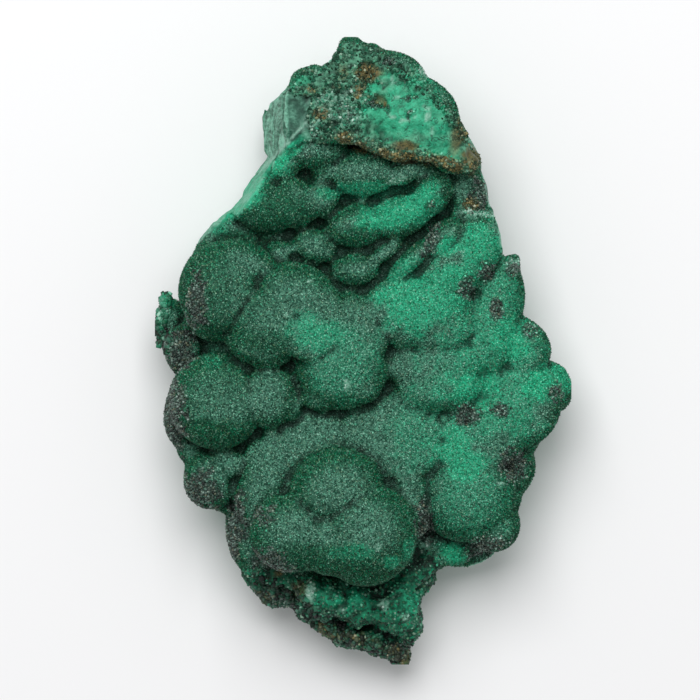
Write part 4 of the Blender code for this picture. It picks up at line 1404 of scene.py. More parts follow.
    def fused(self) -> bpy.types.Object:
        """Grow the piece, without its relief.

        Returns:
            The growths, knobs and slabs as one closed mesh, broken and pitted.
        """
        soup = Soup()
        for growth in self.zone_map.growths:
            soup.add_mesh(self.growth_shell(growth))
        chance = random.Random(SEED)
        for band in KNOB_BANDS:
            self.add_knobs(soup, band, chance)
        unevenness = bpy.data.textures.new("broken_relief", "CLOUDS")
        unevenness.noise_scale = self.slab_relief_spacing * MM
        unevenness.noise_depth = 2
        for slab in SLABS:
            soup.add_mesh(self.slab_shell(slab, unevenness))

        body = new_object("grown_body", soup.mesh("grown_body"))
        add_remesh(body, self.grain)
        for face in self.zone_map.breaks:
            body = self.cut(body, self.break_box(face))
        body = self.cut(body, self.pit_balls(PITS))
        add_remesh(body, self.grain)
        add_smooth(body, self.softness)
        return new_object("grown_body", self.largest_part(settled_mesh(body)))

    def largest_part(self, mesh: bpy.types.Mesh) -> bpy.types.Mesh:
        """Keep the one body and drop loose crumbs beside it.

        Args:
            mesh: Mesh that may hold several bodies.

        Returns:
            The same mesh, with the largest alone.
        """
        edges = read_edges(mesh)
        label = np.arange(len(mesh.vertices))
        while True:
            lower = label.copy()
            np.minimum.at(lower, edges[:, 0], label[edges[:, 1]])
            np.minimum.at(lower, edges[:, 1], label[edges[:, 0]])
            lower = lower[lower]
            if np.array_equal(lower, label):
                break
            label = lower
        names, sizes = np.unique(label, return_counts=True)
        keep = label == names[sizes.argmax()]
        if keep.all():
            return mesh
        soup = bmesh.new()
        soup.from_mesh(mesh)
        loose = [vert for vert, kept in zip(soup.verts, keep) if not kept]
        bmesh.ops.delete(soup, geom=loose, context="VERTS")
        soup.to_mesh(mesh)
        soup.free()
        return mesh

    def add_relief(self, mesh: bpy.types.Mesh) -> None:
        """Push the surface in and out by what each zone shows.

        Args:
            mesh: The fused body, whose vertices move.
        """
        surface = self.zone_map.read(Surface(read_points(mesh), read_normals(mesh)))
        points = surface.points
        zones = surface.zones
        swell = Noise(SEED + 2).fractal(points, *self.swell_waves)
        crumb = Noise(SEED + 3).fractal(points, *self.crumb_waves)
        grit = Noise(SEED + 8).fractal(points, *self.grit_waves) * self.grit_relief
        bubble = 0.5 - np.abs(Noise(SEED + 4).fractal(points, *self.bubble_waves)) * self.bubble_fold
        wander = Noise(SEED + 5).fractal(points, *self.wander_waves)
        bands = np.sin(2.0 * math.pi * (surface.depth / self.band_spacing + wander))
        uncovered = zones[Zone.CRUST] * (1.0 - zones[Zone.EMERALD])
        push = zones[Zone.VELVET] * (self.velvet_swell * swell + self.velvet_crumb * crumb
                                     - self.velvet_inset)
        push += zones[Zone.CRUST] * self.crust_relief * (crumb - self.relief_middle)
        push += uncovered * (grit + self.crust_crumb * crumb)
        push += zones[Zone.TOE] * (self.toe_relief * (bubble - self.relief_middle) + grit)
        push += zones[Zone.BROKEN] * (self.band_relief * bands + self.broken_relief * crumb)
        push += zones[Zone.DARK] * self.dark_relief * crumb
        rise = surface.crease_rise(read_edges(mesh), self.crease_reach) - self.crease_least
        stained = zones[Zone.CRUST] * zones[Zone.RUST]
        rough = uncovered - stained
        grown = np.clip(zones[Zone.VELVET] + zones[Zone.TOE] + rough, 0.0, 1.0)
        push -= grown * self.crease_gain * np.clip(rise, 0.0, self.crease_most)
        push += grown * self.pit_gain * np.clip(rise - self.crease_most, 0.0, self.crease_most)
        push += stained * self.stain_fill * np.clip(rise, 0.0, 2.0 * self.crease_most)
        low, high = (np.array(corner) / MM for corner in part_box(NODE))
        write_points(mesh, np.clip(points + surface.normals * push[:, None], low, high))

    def build(self) -> bpy.types.Object:
        """Make the body, with its zones stored on the mesh.

        Returns:
            The body's object, dressed.
        """
        body = self.fused()
        self.add_relief(body.data)
        body = self.cut(body, self.floor_box())
        body.name = "grown_body"
        mesh = body.data
        mesh.name = "grown_body"
        self.surface = self.zone_map.read(Surface(read_points(mesh), read_normals(mesh)))
        for zone, values in self.surface.zones.items():
            write_value(mesh, zone.value, values)
        # Painted crease shade: how far each point lies down in a crease, left off rust-stained crust.
        rise = self.surface.crease_rise(read_edges(mesh), self.crease_passes)
        stained = self.surface.zones[Zone.CRUST] * self.surface.zones[Zone.RUST]
        self.surface.hollow = smooth_step(*self.crease_rises, rise) * (1.0 - stained)
        write_value(mesh, "depth", self.surface.depth)
        write_value(mesh, "hollow", self.surface.hollow)
        mesh.shade_smooth()
        mesh.materials.clear()
        mesh.materials.append(self.finish.material())
        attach(body, BODY)
        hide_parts(NODE)
        LOG.info("grown_body: %d vertices, %d faces", len(mesh.vertices), len(mesh.polygons))
        return body


# ---- shader building ------------------------------------------------------------------------------------

class Wiring:
    """Adds nodes to one node tree and links them."""

    def __init__(self, tree: bpy.types.NodeTree) -> None:
        """Keep the tree that the nodes go into."""
        self.tree = tree

    def node(self, kind: str, **settings: object) -> bpy.types.Node:
        """Add a node.

        Args:
            kind: Blender's name of the node type.
            **settings: Properties to set on it.

        Returns:
            The new node.
        """
        made = self.tree.nodes.new(kind)
        for name, value in settings.items():
            setattr(made, name, value)
        return made

    def feed(self, socket: bpy.types.NodeSocket, value: object) -> None:
        """Link a socket to another socket, or set it to a constant."""
        if isinstance(value, bpy.types.NodeSocket):
            self.tree.links.new(value, socket)
        else:
            socket.default_value = value

    def attribute(self, name: str) -> bpy.types.NodeSocket:
        """Number that the mesh stores under a name."""
        return self.node("ShaderNodeAttribute", attribute_name=name).outputs["Fac"]

    def place(self) -> bpy.types.NodeSocket:
        """Coordinates of the object, in metres."""
        return self.node("ShaderNodeTexCoord").outputs["Object"]

    def math(self, operation: str, first: object, second: object = 0.0, third: object = 0.0,
             clamp: bool = False) -> bpy.types.NodeSocket:
        """Work out a number.

        Args:
            operation: Blender's name of the operation.
            first: First number or socket.
            second: Second number or socket.
            third: Third number or socket.
            clamp: Whether the answer is held from 0 to 1.

        Returns:
            The answer's socket.
        """
        made = self.node("ShaderNodeMath", operation=operation, use_clamp=clamp)
        for socket, value in zip(made.inputs, (first, second, third)):
            self.feed(socket, value)
        return made.outputs[0]

    def mix(self, share: object, first: object, second: object) -> bpy.types.NodeSocket:
        """Mix two colours.

        Args:
            share: Share of the second colour, a number or socket.
            first: Colour or socket.
            second: Colour or socket.

        Returns:
            The mixed colour's socket.
        """
        made = self.node("ShaderNodeMix", data_type="RGBA", clamp_factor=True)
        self.feed(made.inputs[0], share)
        self.feed(made.inputs[6], first)
        self.feed(made.inputs[7], second)
        return made.outputs[2]

    def step(self, value: object, low: float, high: float) -> bpy.types.NodeSocket:
        """Smooth step of a value from 0 at low to 1 at high."""
        made = self.node("ShaderNodeMapRange", interpolation_type="SMOOTHSTEP")
        self.feed(made.inputs["Value"], value)
        self.feed(made.inputs["From Min"], low)
        self.feed(made.inputs["From Max"], high)
        return made.outputs["Result"]

    def noise(self, spacing: object, detail: float = 2.0, roughness: float = 0.5,
              distortion: float = 0.0) -> bpy.types.NodeSocket:
        """Noise from 0 to 1 over the object.

        Args:
            spacing: Width of a feature in millimetres, a number or socket.
            detail: Number of finer scales added.
            roughness: Strength of the finer scales.
            distortion: How far the noise is warped.

        Returns:
            The noise's socket.
        """
        made = self.node("ShaderNodeTexNoise")
        self.feed(made.inputs["Vector"], self.place())
        scale = self.math("DIVIDE", 1.0 / MM, spacing)
        self.feed(made.inputs["Scale"], scale)
        self.feed(made.inputs["Detail"], detail)
        self.feed(made.inputs["Roughness"], roughness)
        self.feed(made.inputs["Distortion"], distortion)
        return made.outputs["Fac"]

    def group(self, effect: "Effect", **inputs: object) -> bpy.types.Node:
        """Place a shared effect.

        Args:
            effect: Effect to place.
            **inputs: Value or socket for each named input; underscores stand for blanks.

        Returns:
            The group's node.
        """
        made = self.node("ShaderNodeGroup", node_tree=effect.tree())
        for name, value in inputs.items():
            self.feed(made.inputs[name.replace("_", " ").capitalize()], value)
        return made


class Effect:
    """A shader node group that several materials share; subclasses say what is in it."""

    name = ""
    inputs: tuple[tuple[str, str, object], ...] = ()
    outputs: tuple[tuple[str, str], ...] = ()

    def tree(self) -> bpy.types.NodeTree:
        """Find the effect's node tree, or build it the first time.

        Returns:
            The node tree, with the effect's inputs and outputs.
        """
        known = bpy.data.node_groups.get(self.name)
        if known:
            return known
        tree = bpy.data.node_groups.new(self.name, "ShaderNodeTree")
        for name, kind, value in self.inputs:
            socket = tree.interface.new_socket(name, in_out="INPUT", socket_type=kind)
            socket.default_value = value
        for name, kind in self.outputs:
            tree.interface.new_socket(name, in_out="OUTPUT", socket_type=kind)
        wiring = Wiring(tree)
        taken = wiring.node("NodeGroupInput")
        given = wiring.node("NodeGroupOutput")
        self.wire(wiring, taken.outputs, given.inputs)
        return tree

    def wire(self, wiring: Wiring, taken: bpy.types.NodeOutputs, given: bpy.types.NodeInputs) -> None:
        """Add the effect's nodes; each effect has its own."""
        raise NotImplementedError


FLOAT = "NodeSocketFloat"
COLOUR = "NodeSocketColor"
BLACK = (0.0, 0.0, 0.0, 1.0)


class Speckle(Effect):
    """Grains side by side, each with its own brightness from 0 to 1."""

    name = "grain_speckle"
    inputs = (("Width", FLOAT, 0.35), ("Contrast", FLOAT, 1.0))
    outputs = (("Grain", FLOAT), ("Height", FLOAT))

    def wire(self, wiring: Wiring, taken: bpy.types.NodeOutputs, given: bpy.types.NodeInputs) -> None:
        """Cells of a Voronoi pattern give the grains, with their rounding as height."""
        cells = wiring.node("ShaderNodeTexVoronoi")
        wiring.feed(cells.inputs["Vector"], wiring.place())
        wiring.feed(cells.inputs["Scale"], wiring.math("DIVIDE", 1.0 / MM, taken["Width"]))
        parts = wiring.node("ShaderNodeSeparateColor")
        wiring.feed(parts.inputs["Color"], cells.outputs["Color"])
        centred = wiring.math("SUBTRACT", parts.outputs[0], 0.5)
        spread = wiring.math("MULTIPLY_ADD", centred, taken["Contrast"], 0.5, clamp=True)
        wiring.feed(given["Grain"], spread)
        wiring.feed(given["Height"], wiring.math("SUBTRACT", 1.0, cells.outputs["Distance"]))


class GrowthBands(Effect):
    """Layers of growth, seen as light and dark bands where the stone is broken."""

    name = "growth_bands"
    inputs = (("Depth", FLOAT, 0.0), ("Spacing", FLOAT, 1.4), ("Waver", FLOAT, 0.6),
              ("Fibre width", FLOAT, 0.5), ("Fibre length", FLOAT, 6.0))
    outputs = (("Band", FLOAT), ("Fibre", FLOAT))

    def wire(self, wiring: Wiring, taken: bpy.types.NodeOutputs, given: bpy.types.NodeInputs) -> None:
        """Noise along the depth alone makes bands of uneven width; fine noise makes fibres."""
        waver = wiring.math("SUBTRACT", wiring.noise(3.0, 3.0), 0.5)
        shifted = wiring.math("MULTIPLY_ADD", waver, taken["Waver"], taken["Depth"])
        place = wiring.math("DIVIDE", shifted, taken["Spacing"])
        broad = wiring.node("ShaderNodeTexNoise", noise_dimensions="1D")
        wiring.feed(broad.inputs["W"], place)
        wiring.feed(broad.inputs["Scale"], 1.0)
        wiring.feed(broad.inputs["Detail"], 3.0)
        wiring.feed(broad.inputs["Roughness"], 0.7)
        wiring.feed(given["Band"], wiring.step(broad.outputs["Fac"], 0.36, 0.64))
        parts = wiring.node("ShaderNodeSeparateXYZ")
        wiring.feed(parts.inputs[0], wiring.place())
        stretched = wiring.node("ShaderNodeCombineXYZ")
        for axis, size in ((0, "Fibre width"), (1, "Fibre width"), (2, "Fibre length")):
            scaled = wiring.math("DIVIDE", wiring.math("DIVIDE", parts.outputs[axis], MM), taken[size])
            wiring.feed(stretched.inputs[axis], scaled)
        fibres = wiring.node("ShaderNodeTexNoise")
        wiring.feed(fibres.inputs["Vector"], stretched.outputs[0])
        wiring.feed(fibres.inputs["Scale"], 1.0)
        wiring.feed(fibres.inputs["Detail"], 3.0)
        wiring.feed(fibres.inputs["Roughness"], 0.6)
        wiring.feed(given["Fibre"], wiring.step(fibres.outputs["Fac"], 0.38, 0.62))


class Veins(Effect):
    """Thin dark cracks and seams that wander over a crust, from 0 to 1."""

    name = "crust_veins"
    inputs = (("Spacing", FLOAT, 2.2), ("Width", FLOAT, 0.03))
    outputs = (("Vein", FLOAT),)

    def wire(self, wiring: Wiring, taken: bpy.types.NodeOutputs, given: bpy.types.NodeInputs) -> None:
        """The line along which a noise passes its middle is the vein; a second noise breaks it up."""
        offset = wiring.math("SUBTRACT", wiring.noise(taken["Spacing"], 4.0, 0.7, 0.6), 0.5)
        away = wiring.math("DIVIDE", wiring.math("ABSOLUTE", offset), taken["Width"])
        line = wiring.math("SUBTRACT", 1.0, wiring.step(away, 0.2, 1.0))
        broken_up = wiring.step(wiring.noise(1.7, 2.0), 0.42, 0.6)
        wiring.feed(given["Vein"], wiring.math("MULTIPLY", line, broken_up))


class ZoneTint(Effect):
    """Lays a zone's colours over a ground colour, by the zone's cover at each place, then paints shade in the
    creases.
    """

    name = "zone_tint"
    inputs = (
        ("Ground", COLOUR, BLACK), ("Tone", FLOAT, 0.5),
        ("Hollow", FLOAT, 0.0), ("Hollow dimming", FLOAT, 0.5),
        *(entry for zone in TINTED for entry in (
            (zone.title, FLOAT, 0.0), (zone.title + " low", COLOUR, BLACK),
            (zone.title + " high", COLOUR, BLACK))))
    outputs = (("Color", COLOUR),)

    def wire(self, wiring: Wiring, taken: bpy.types.NodeOutputs, given: bpy.types.NodeInputs) -> None:
        """One mix a zone: low to high colour by tone, then over the ground by cover."""
        colour = taken["Ground"]
        for zone in TINTED:
            own = wiring.mix(taken["Tone"], taken[zone.title + " low"], taken[zone.title + " high"])
            colour = wiring.mix(taken[zone.title], colour, own)
        # Painted crease shade: the colour is dimmed towards black in creases.
        dimming = wiring.math("MULTIPLY", taken["Hollow"], taken["Hollow dimming"])
        wiring.feed(given["Color"], wiring.mix(dimming, colour, BLACK))


SPECKLE = Speckle()
GROWTH_BANDS = GrowthBands()
VEINS = Veins()
ZONE_TINT = ZoneTint()


@dataclass(frozen=True)
class Palette:
    """Colours of each zone, the low one in its hollows and dark grains, the high one on its bright grains."""

    velvet: tuple[Tone, Tone] = (Tone(0, 36, 22), Tone(4, 138, 92))
    # Colours of the painted sheen laid on velvet that faces up.
    frost: tuple[Tone, Tone] = (Tone(0, 52, 36), Tone(130, 200, 172))
    emerald: tuple[Tone, Tone] = (Tone(4, 114, 77), Tone(66, 232, 181))
    dark: tuple[Tone, Tone] = (Tone(6, 18, 14), Tone(92, 116, 106))
    rust: tuple[Tone, Tone] = (Tone(34, 46, 30), Tone(150, 132, 80))
    pale: tuple[Tone, Tone] = (Tone(60, 150, 118), Tone(206, 232, 220))
    crust: tuple[Tone, Tone] = (Tone(4, 58, 38), Tone(88, 154, 124))
    toe: tuple[Tone, Tone] = (Tone(0, 24, 16), Tone(36, 178, 130))
    broken: tuple[Tone, Tone] = (Tone(16, 92, 66), Tone(128, 196, 168))
    facet: tuple[Tone, Tone] = (Tone(18, 46, 37), Tone(34, 70, 58))

    def velvet_ground(self, wiring: Wiring, tone: object) -> bpy.types.NodeSocket:
        """Colour of the velvet: deep green on its flanks, with a painted sheen on what faces up.

        Args:
            wiring: Node tree that takes the nodes.
            tone: Brightness of the grain, from 0 to 1, a number or socket.

        Returns:
            The colour's socket.
        """
        deep = wiring.mix(tone, *(each.linear() for each in self.velvet))
        with_painted_sheen = wiring.mix(tone, *(each.linear() for each in self.frost))
        return wiring.mix(wiring.attribute(Zone.PAINTED_SHEEN.value), deep, with_painted_sheen)

    def zone_inputs(self, wiring: Wiring, tone: object) -> dict[str, object]:
        """Inputs of the zone tint for a mesh that stores its zones.

        Args:
            wiring: Node tree that reads the zones.
            tone: Brightness of the grain, from 0 to 1, a number or socket.

        Returns:
            Named inputs for the zone tint.
        """
        inputs: dict[str, object] = {"Tone": tone, "Hollow": wiring.attribute("hollow")}
        for zone in TINTED:
            low, high = getattr(self, zone.value)
            inputs[zone.title] = wiring.attribute(zone.value)
            inputs[zone.title + "_low"] = low.linear()
            inputs[zone.title + "_high"] = high.linear()
        return inputs


PALETTE = Palette()


def start_material(name: str, **constants: float) -> tuple[bpy.types.Material, Wiring, bpy.types.Node]:
    """Make a material with its shader.

    Args:
        name: Name of the material.
        **constants: Shader inputs that are the same everywhere; underscores stand for blanks.

    Returns:
        The material, the wiring of its nodes, and its shader node.
    """
    material = bpy.data.materials.new(name)
    material.use_nodes = True
    shader = material.node_tree.nodes["Principled BSDF"]
    for key, value in constants.items():
        shader.inputs[key.replace("_", " ")].default_value = value
    return material, Wiring(material.node_tree), shader


@dataclass(frozen=True)
class BodyFinish:
    """Ground of the velvet, crusts and banded broken faces, all on the one body."""

    palette: Palette = PALETTE
    velvet_roughness: float = 0.75
    crust_roughness: float = 0.5
    band_spacing: float = 1.5
    vein: Tone = Tone(18, 40, 30)
    grain_width: float = 0.32
    bump_distance: float = 0.12
    dimming: float = 0.75           # painted crease shade: how much darker it is in a crease

    def material(self) -> bpy.types.Material:
        """Make the body's material.

        Returns:
            The new material.
        """
        material, wiring, shader = start_material("malachite_body", Specular_IOR_Level=0.22)
        speckle = wiring.group(SPECKLE, width=self.grain_width, contrast=1.0)
        grain = speckle.outputs["Grain"]
        soft = wiring.noise(1.1, 3.0, 0.6)
        broad = wiring.step(wiring.noise(5.0, 3.0, 0.6), 0.35, 0.65)
        tone = wiring.math("MULTIPLY_ADD", grain, 0.3, wiring.math("MULTIPLY", soft, 0.4))

        velvet = self.palette.velvet_ground(wiring, wiring.math("MULTIPLY", grain, 0.4))
        crust_tone = wiring.math("MULTIPLY_ADD", broad, 0.35, wiring.step(soft, 0.35, 0.7))
        crust = wiring.mix(crust_tone, *(t.linear() for t in self.palette.crust))
        veins = wiring.group(VEINS)
        toe_tone = wiring.math("MULTIPLY_ADD", broad, 0.4, wiring.step(soft, 0.45, 0.75))
        toe_tone = wiring.math("MULTIPLY", toe_tone, 0.7)
        toe = wiring.mix(toe_tone, *(t.linear() for t in self.palette.toe))
        bands = wiring.group(GROWTH_BANDS, depth=wiring.attribute("depth"), spacing=self.band_spacing,
                             waver=1.2)
        band_tone = wiring.math("MULTIPLY_ADD", bands.outputs["Fibre"], 0.5,
                                wiring.math("MULTIPLY", bands.outputs["Band"], 0.7))
        wall = wiring.mix(wiring.math("SUBTRACT", band_tone, 0.15, clamp=True),
                          *(t.linear() for t in self.palette.broken))
        facet = wiring.mix(soft, *(t.linear() for t in self.palette.facet))
        # The up-facing mask of the painted sheen also picks out the flat facets among the broken faces.
        broken = wiring.mix(wiring.attribute(Zone.PAINTED_SHEEN.value), wall, facet)

        ground = wiring.mix(wiring.attribute("crust"), velvet, crust)
        ground = wiring.mix(wiring.attribute("toe"), ground, toe)
        ground = wiring.mix(wiring.attribute("broken"), ground, broken)
        tint = wiring.group(ZONE_TINT, Ground=ground, Hollow_dimming=self.dimming,
                            **self.palette.zone_inputs(wiring, tone))
        crusted = wiring.math("MAXIMUM", wiring.attribute("crust"), wiring.attribute("toe"))
        veined = wiring.math("MULTIPLY", wiring.math("MULTIPLY", crusted, veins.outputs["Vein"]), 0.8)
        seamed = wiring.mix(veined, tint.outputs["Color"], self.vein.linear())
        wiring.feed(shader.inputs["Base Color"], seamed)

        rough = wiring.node("ShaderNodeMix", data_type="FLOAT")
        wiring.feed(rough.inputs[0], wiring.attribute("velvet"))
        wiring.feed(rough.inputs[2], wiring.math("MULTIPLY_ADD", soft, 0.3, self.crust_roughness - 0.15))
        wiring.feed(rough.inputs[3], self.velvet_roughness)
        wiring.feed(shader.inputs["Roughness"], rough.outputs[0])

        bump = wiring.node("ShaderNodeBump")
        bump.inputs["Strength"].default_value = 1.0
        bump.inputs["Distance"].default_value = self.bump_distance * MM
        height = wiring.math("MULTIPLY_ADD", wiring.noise(0.7, 4.0, 0.65), 1.5,
                             wiring.math("MULTIPLY", speckle.outputs["Height"], 0.5))
        wiring.feed(bump.inputs["Height"], height)
        wiring.feed(shader.inputs["Normal"], bump.outputs["Normal"])
        return material


@dataclass(frozen=True)
class GrainFinish:
    """Small crystals and crumbs: each has its own tone, and takes its zone's colour."""

    name: str
    ground: tuple[Tone, Tone] | None        # none for the velvet's own two grounds, deep green and the painted sheen
    roughness: float
    specular: float = 0.5
    dimming: float = 0.7                    # painted crease shade: how much darker it is in a crease
    palette: Palette = PALETTE

    def material(self) -> bpy.types.Material:
        """Make the grains' material.

        Returns:
            The new material.
        """
        material, wiring, shader = start_material(self.name, Specular_IOR_Level=self.specular)
        tone = wiring.attribute("tone")
        if self.ground is None:
            ground = self.palette.velvet_ground(wiring, tone)
        else:
            ground = wiring.mix(tone, *(each.linear() for each in self.ground))
        tint = wiring.group(ZONE_TINT, Ground=ground, Hollow_dimming=self.dimming,
                            **self.palette.zone_inputs(wiring, tone))
        wiring.feed(shader.inputs["Base Color"], tint.outputs["Color"])
        rough = wiring.math("MULTIPLY_ADD", tone, -0.2, self.roughness + 0.1)
        wiring.feed(shader.inputs["Roughness"], rough)
        return material


# ---- crystals and crumbs --------------------------------------------------------------------------------

class Habit(Enum):
    """Form of a grain."""

    NEEDLE = "needle"           # three-sided point
    BLOCK = "block"             # four-sided blunt crystal
    CRUMB = "crumb"             # rounded lump with dents


def grain_form(habit: Habit) -> tuple[Array, Array]:
    """Outline of one grain: x and y across, z from its foot at 0 to its tip at 1.

    Args:
        habit: Form of the grain.

    Returns:
        Vertices, three numbers a row, and triangles that face outwards.
    """
    if habit is Habit.CRUMB:
        return ball_form(1)
    sides = 3 if habit is Habit.NEEDLE else 4
    angles = np.arange(sides) * 2.0 * math.pi / sides
    ring = np.stack((np.cos(angles), np.sin(angles), np.zeros(sides)), axis=1)
    if habit is Habit.NEEDLE:
        points = np.vstack((ring, (0.0, 0.0, 1.0)))
        corners = [(0, 1, 3), (1, 2, 3), (2, 0, 3), (2, 1, 0)]
        return points, np.array(corners)
    upper = ring * (0.72, 0.72, 1.0) + (0.0, 0.0, 0.8)
    points = np.vstack((ring, upper, (0.0, 0.0, 1.0)))
    corners = []
    for side in range(sides):
        after = (side + 1) % sides
        corners += [(side, after, sides + after), (side, sides + after, sides + side)]
        corners += [(sides + side, sides + after, 2 * sides)]
    corners += [(0, 3, 2), (0, 2, 1)]
    return points, np.array(corners)


@dataclass
class Grains:
    """Grains sown over a zone of the body, kept in a few meshes of closed grains."""

    name: str
    habit: Habit
    finish: GrainFinish
    spacing: float
    half_width: float
    height: float
    tilt: float
    seed: int
    pieces: int = 1
    sunk: float = 0.3           # share of the height that is in the body
    dent: float = 0.0
    bright_share: float = 0.025
    glint: float = 0.25         # paleness of the bright ones, a painted glint
    tones: tuple[float, float] = (0.75, 1.45)     # shape of the spread of brightness
    bands: tuple[KnobBand, ...] = ()
    zone: Zone | None = None
    bare_zones: tuple[Zone, ...] = ()
    least: float = 0.35
    mingling: float = 0.5       # how softly a zone's cover decides the colour of one grain
    lot_span: tuple[float, float] = (0.1, 0.8)      # least cover that colours a grain, and its spread
    tries: float = 4.0          # feet drawn for each that the spacing has room for
    cell: float = 0.86          # share of the spacing in which one foot is kept
    sizes: tuple[float, float] = (0.7, 1.3)
    widths: tuple[float, float] = (0.8, 1.2)

    def share(self, surface: Surface) -> Array:
        """How thickly the grains stand.

        Args:
            surface: The body's points.

        Returns:
            One number from 0 to 1 a point.
        """
        thick = np.zeros(len(surface.points))
        if self.zone is not None:
            thick = surface.zones[self.zone].copy()
        for band in self.bands:
            np.maximum(thick, path_cover(surface.points, band), out=thick)
        for zone in self.bare_zones:
            thick *= 1.0 - surface.zones[zone]
        return np.where(thick > self.least, thick, 0.0)

    def sow(self, surface: Surface, corners: Array) -> Surface:
        """Choose the grains' places, evenly spread over the zone.

        Args:
            surface: The body's points.
            corners: The body's triangles, three point numbers a row.

        Returns:
            A surface of the grains' feet, with the zones at each.
        """
        chance = np.random.default_rng(self.seed)
        sides = surface.points[corners]
        doubled = np.cross(sides[:, 1] - sides[:, 0], sides[:, 2] - sides[:, 0])
        area = 0.5 * np.linalg.norm(doubled, axis=1)
        weight = area * self.share(surface)[corners].mean(axis=1)
        count = int(self.tries * weight.sum() / self.spacing ** 2)
        chosen = corners[chance.choice(len(corners), count, p=weight / weight.sum())]
        first, second = chance.random(count), chance.random(count)
        over = first + second > 1.0
        first[over], second[over] = 1.0 - first[over], 1.0 - second[over]
        share = np.stack((1.0 - first - second, first, second), axis=1)
        zones = {zone: (values[chosen] * share).sum(axis=1) for zone, values in surface.zones.items()}
        sown = Surface((surface.points[chosen] * share[..., None]).sum(axis=1),
                       (surface.normals[chosen] * share[..., None]).sum(axis=1),
                       zones,
                       (surface.depth[chosen] * share).sum(axis=1),
                       (surface.hollow[chosen] * share).sum(axis=1))
        sown.normals /= np.linalg.norm(sown.normals, axis=1, keepdims=True)
        cells = np.floor(sown.points / (self.cell * self.spacing)).astype(np.int64)
        _, kept = np.unique(cells, axis=0, return_index=True)
        return sown.pick(kept)

    def grow(self, sown: Surface, chance: np.random.Generator) -> tuple[Array, Array]:
        """Set a grain on each foot.

        Args:
            sown: The grains' feet.
            chance: Source of their turns and sizes.

        Returns:
            Vertices in millimetres and triangles of all grains, grain after grain.
        """
        form, corners = grain_form(self.habit)
        count = len(sown.points)
        lean = chance.normal(0.0, self.tilt, (count, 3))
        up = sown.normals + lean
        up /= np.linalg.norm(up, axis=1, keepdims=True)
        side = np.cross(up, chance.normal(0.0, 1.0, (count, 3)))
        side /= np.linalg.norm(side, axis=1, keepdims=True)
        across = np.cross(up, side)
        size = chance.uniform(*self.sizes, (count, 1, 1))
        shape = np.repeat(form[None], count, axis=0)
        if self.dent:
            shape = shape * (1.0 + chance.uniform(-self.dent, self.dent, (count, len(form), 1)))
        wide = self.half_width * size * chance.uniform(*self.widths, (count, 1, 1))
        tall = self.height * size
        places = wide * (shape[..., :1] * side[:, None] + shape[..., 1:2] * across[:, None])
        places = places + tall * (shape[..., 2:] - self.sunk) * up[:, None]
        places = places + sown.points[:, None]
        numbers = corners[None] + (np.arange(count) * len(form))[:, None, None]
        return places.reshape(-1, 3), numbers.reshape(-1, 3)

    def build(self, surface: Surface, corners: Array) -> list[bpy.types.Object]:
        """Make the meshes of grains.

        Args:
            surface: The body's points.
            corners: The body's triangles.

        Returns:
            One object a piece, dressed.
        """
        sown = self.sow(surface, corners)
        chance = np.random.default_rng(self.seed + GROWING_SEED)
        low, high = (np.array(corner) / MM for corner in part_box(NODE))
        least_lot, lot_spread = self.lot_span
        order = np.argsort(-sown.points[:, 1])
        material = self.finish.material()
        made = []
        for number, chosen in enumerate(np.array_split(order, self.pieces), start=1):
            part = sown.pick(chosen)
            points, numbers = self.grow(part, chance)
            name = self.name if self.pieces == 1 else f"{self.name}_{number}"
            mesh = triangle_mesh(name, np.clip(points, low, high), numbers)
            each = len(points) // len(part.points)
            tone = chance.beta(*self.tones, len(part.points))
            # Painted glints: a small share of grains gets full brightness and, below, some paleness.
            bright = chance.random(len(tone)) < self.bright_share
            tone[bright] = 1.0
            write_value(mesh, "tone", np.repeat(tone, each))
            # Painted crease shade at each grain's foot.
            write_value(mesh, "hollow", np.repeat(part.hollow, each))
            # Painted sheen at each grain's foot.
            write_value(mesh, Zone.PAINTED_SHEEN.value, np.repeat(part.zones[Zone.PAINTED_SHEEN], each))
            for zone in TINTED:
                cover = part.zones[zone]
                lot = chance.random(len(cover))
                own = smooth_step(-self.mingling, self.mingling, cover - least_lot - lot_spread * lot)
                # Painted glint: the bright grains are paled.
                if zone is Zone.PALE:
                    own[bright] = np.maximum(own[bright], self.glint)
                write_value(mesh, zone.value, np.repeat(own, each))
            add_grain_map(mesh, len(part.points))
            mesh.materials.append(material)
            piece = new_object(name, mesh)
            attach(piece, BODY)
            LOG.info("%s: %d grains, %d triangles", name, len(part.points), len(numbers))
            made.append(piece)
        return made


def path_cover(points: Array, band: KnobBand) -> Array:
    """How surely points lie in a band's strip.

    Args:
        points: Places in millimetres, three numbers a row.
        band: The band, whose path and spread count.

    Returns:
        One number from 0 to 1 a point.
    """
    path = np.array(band.path, float)
    distance = distance_to_runs(points, path[:-1], path[1:] - path[:-1])
    return smooth_step(1.5 * band.spread, 0.5 * band.spread, distance)


def add_grain_map(mesh: bpy.types.Mesh, grains: int) -> None:
    """Lay out a map in which each grain has a cell of its own.

    Args:
        mesh: Mesh of the grains, all with the same number of triangles.
        grains: Number of grains.
    """
    cells = math.ceil(math.sqrt(grains))
    per_grain = len(mesh.loops) // grains
    number = np.repeat(np.arange(grains), per_grain)
    within = np.tile(np.array(((0.25, 0.25), (0.75, 0.25), (0.25, 0.75))), (len(number) // 3, 1))
    places = (np.stack((number % cells, number // cells), axis=1) + within) / cells
    layer = mesh.uv_layers.new(name=BAKE_MAP)
    layer.data.foreach_set("uv", places.astype(np.float32).ravel())


# ---- the studio ---------------------------------------------------------------------------------------

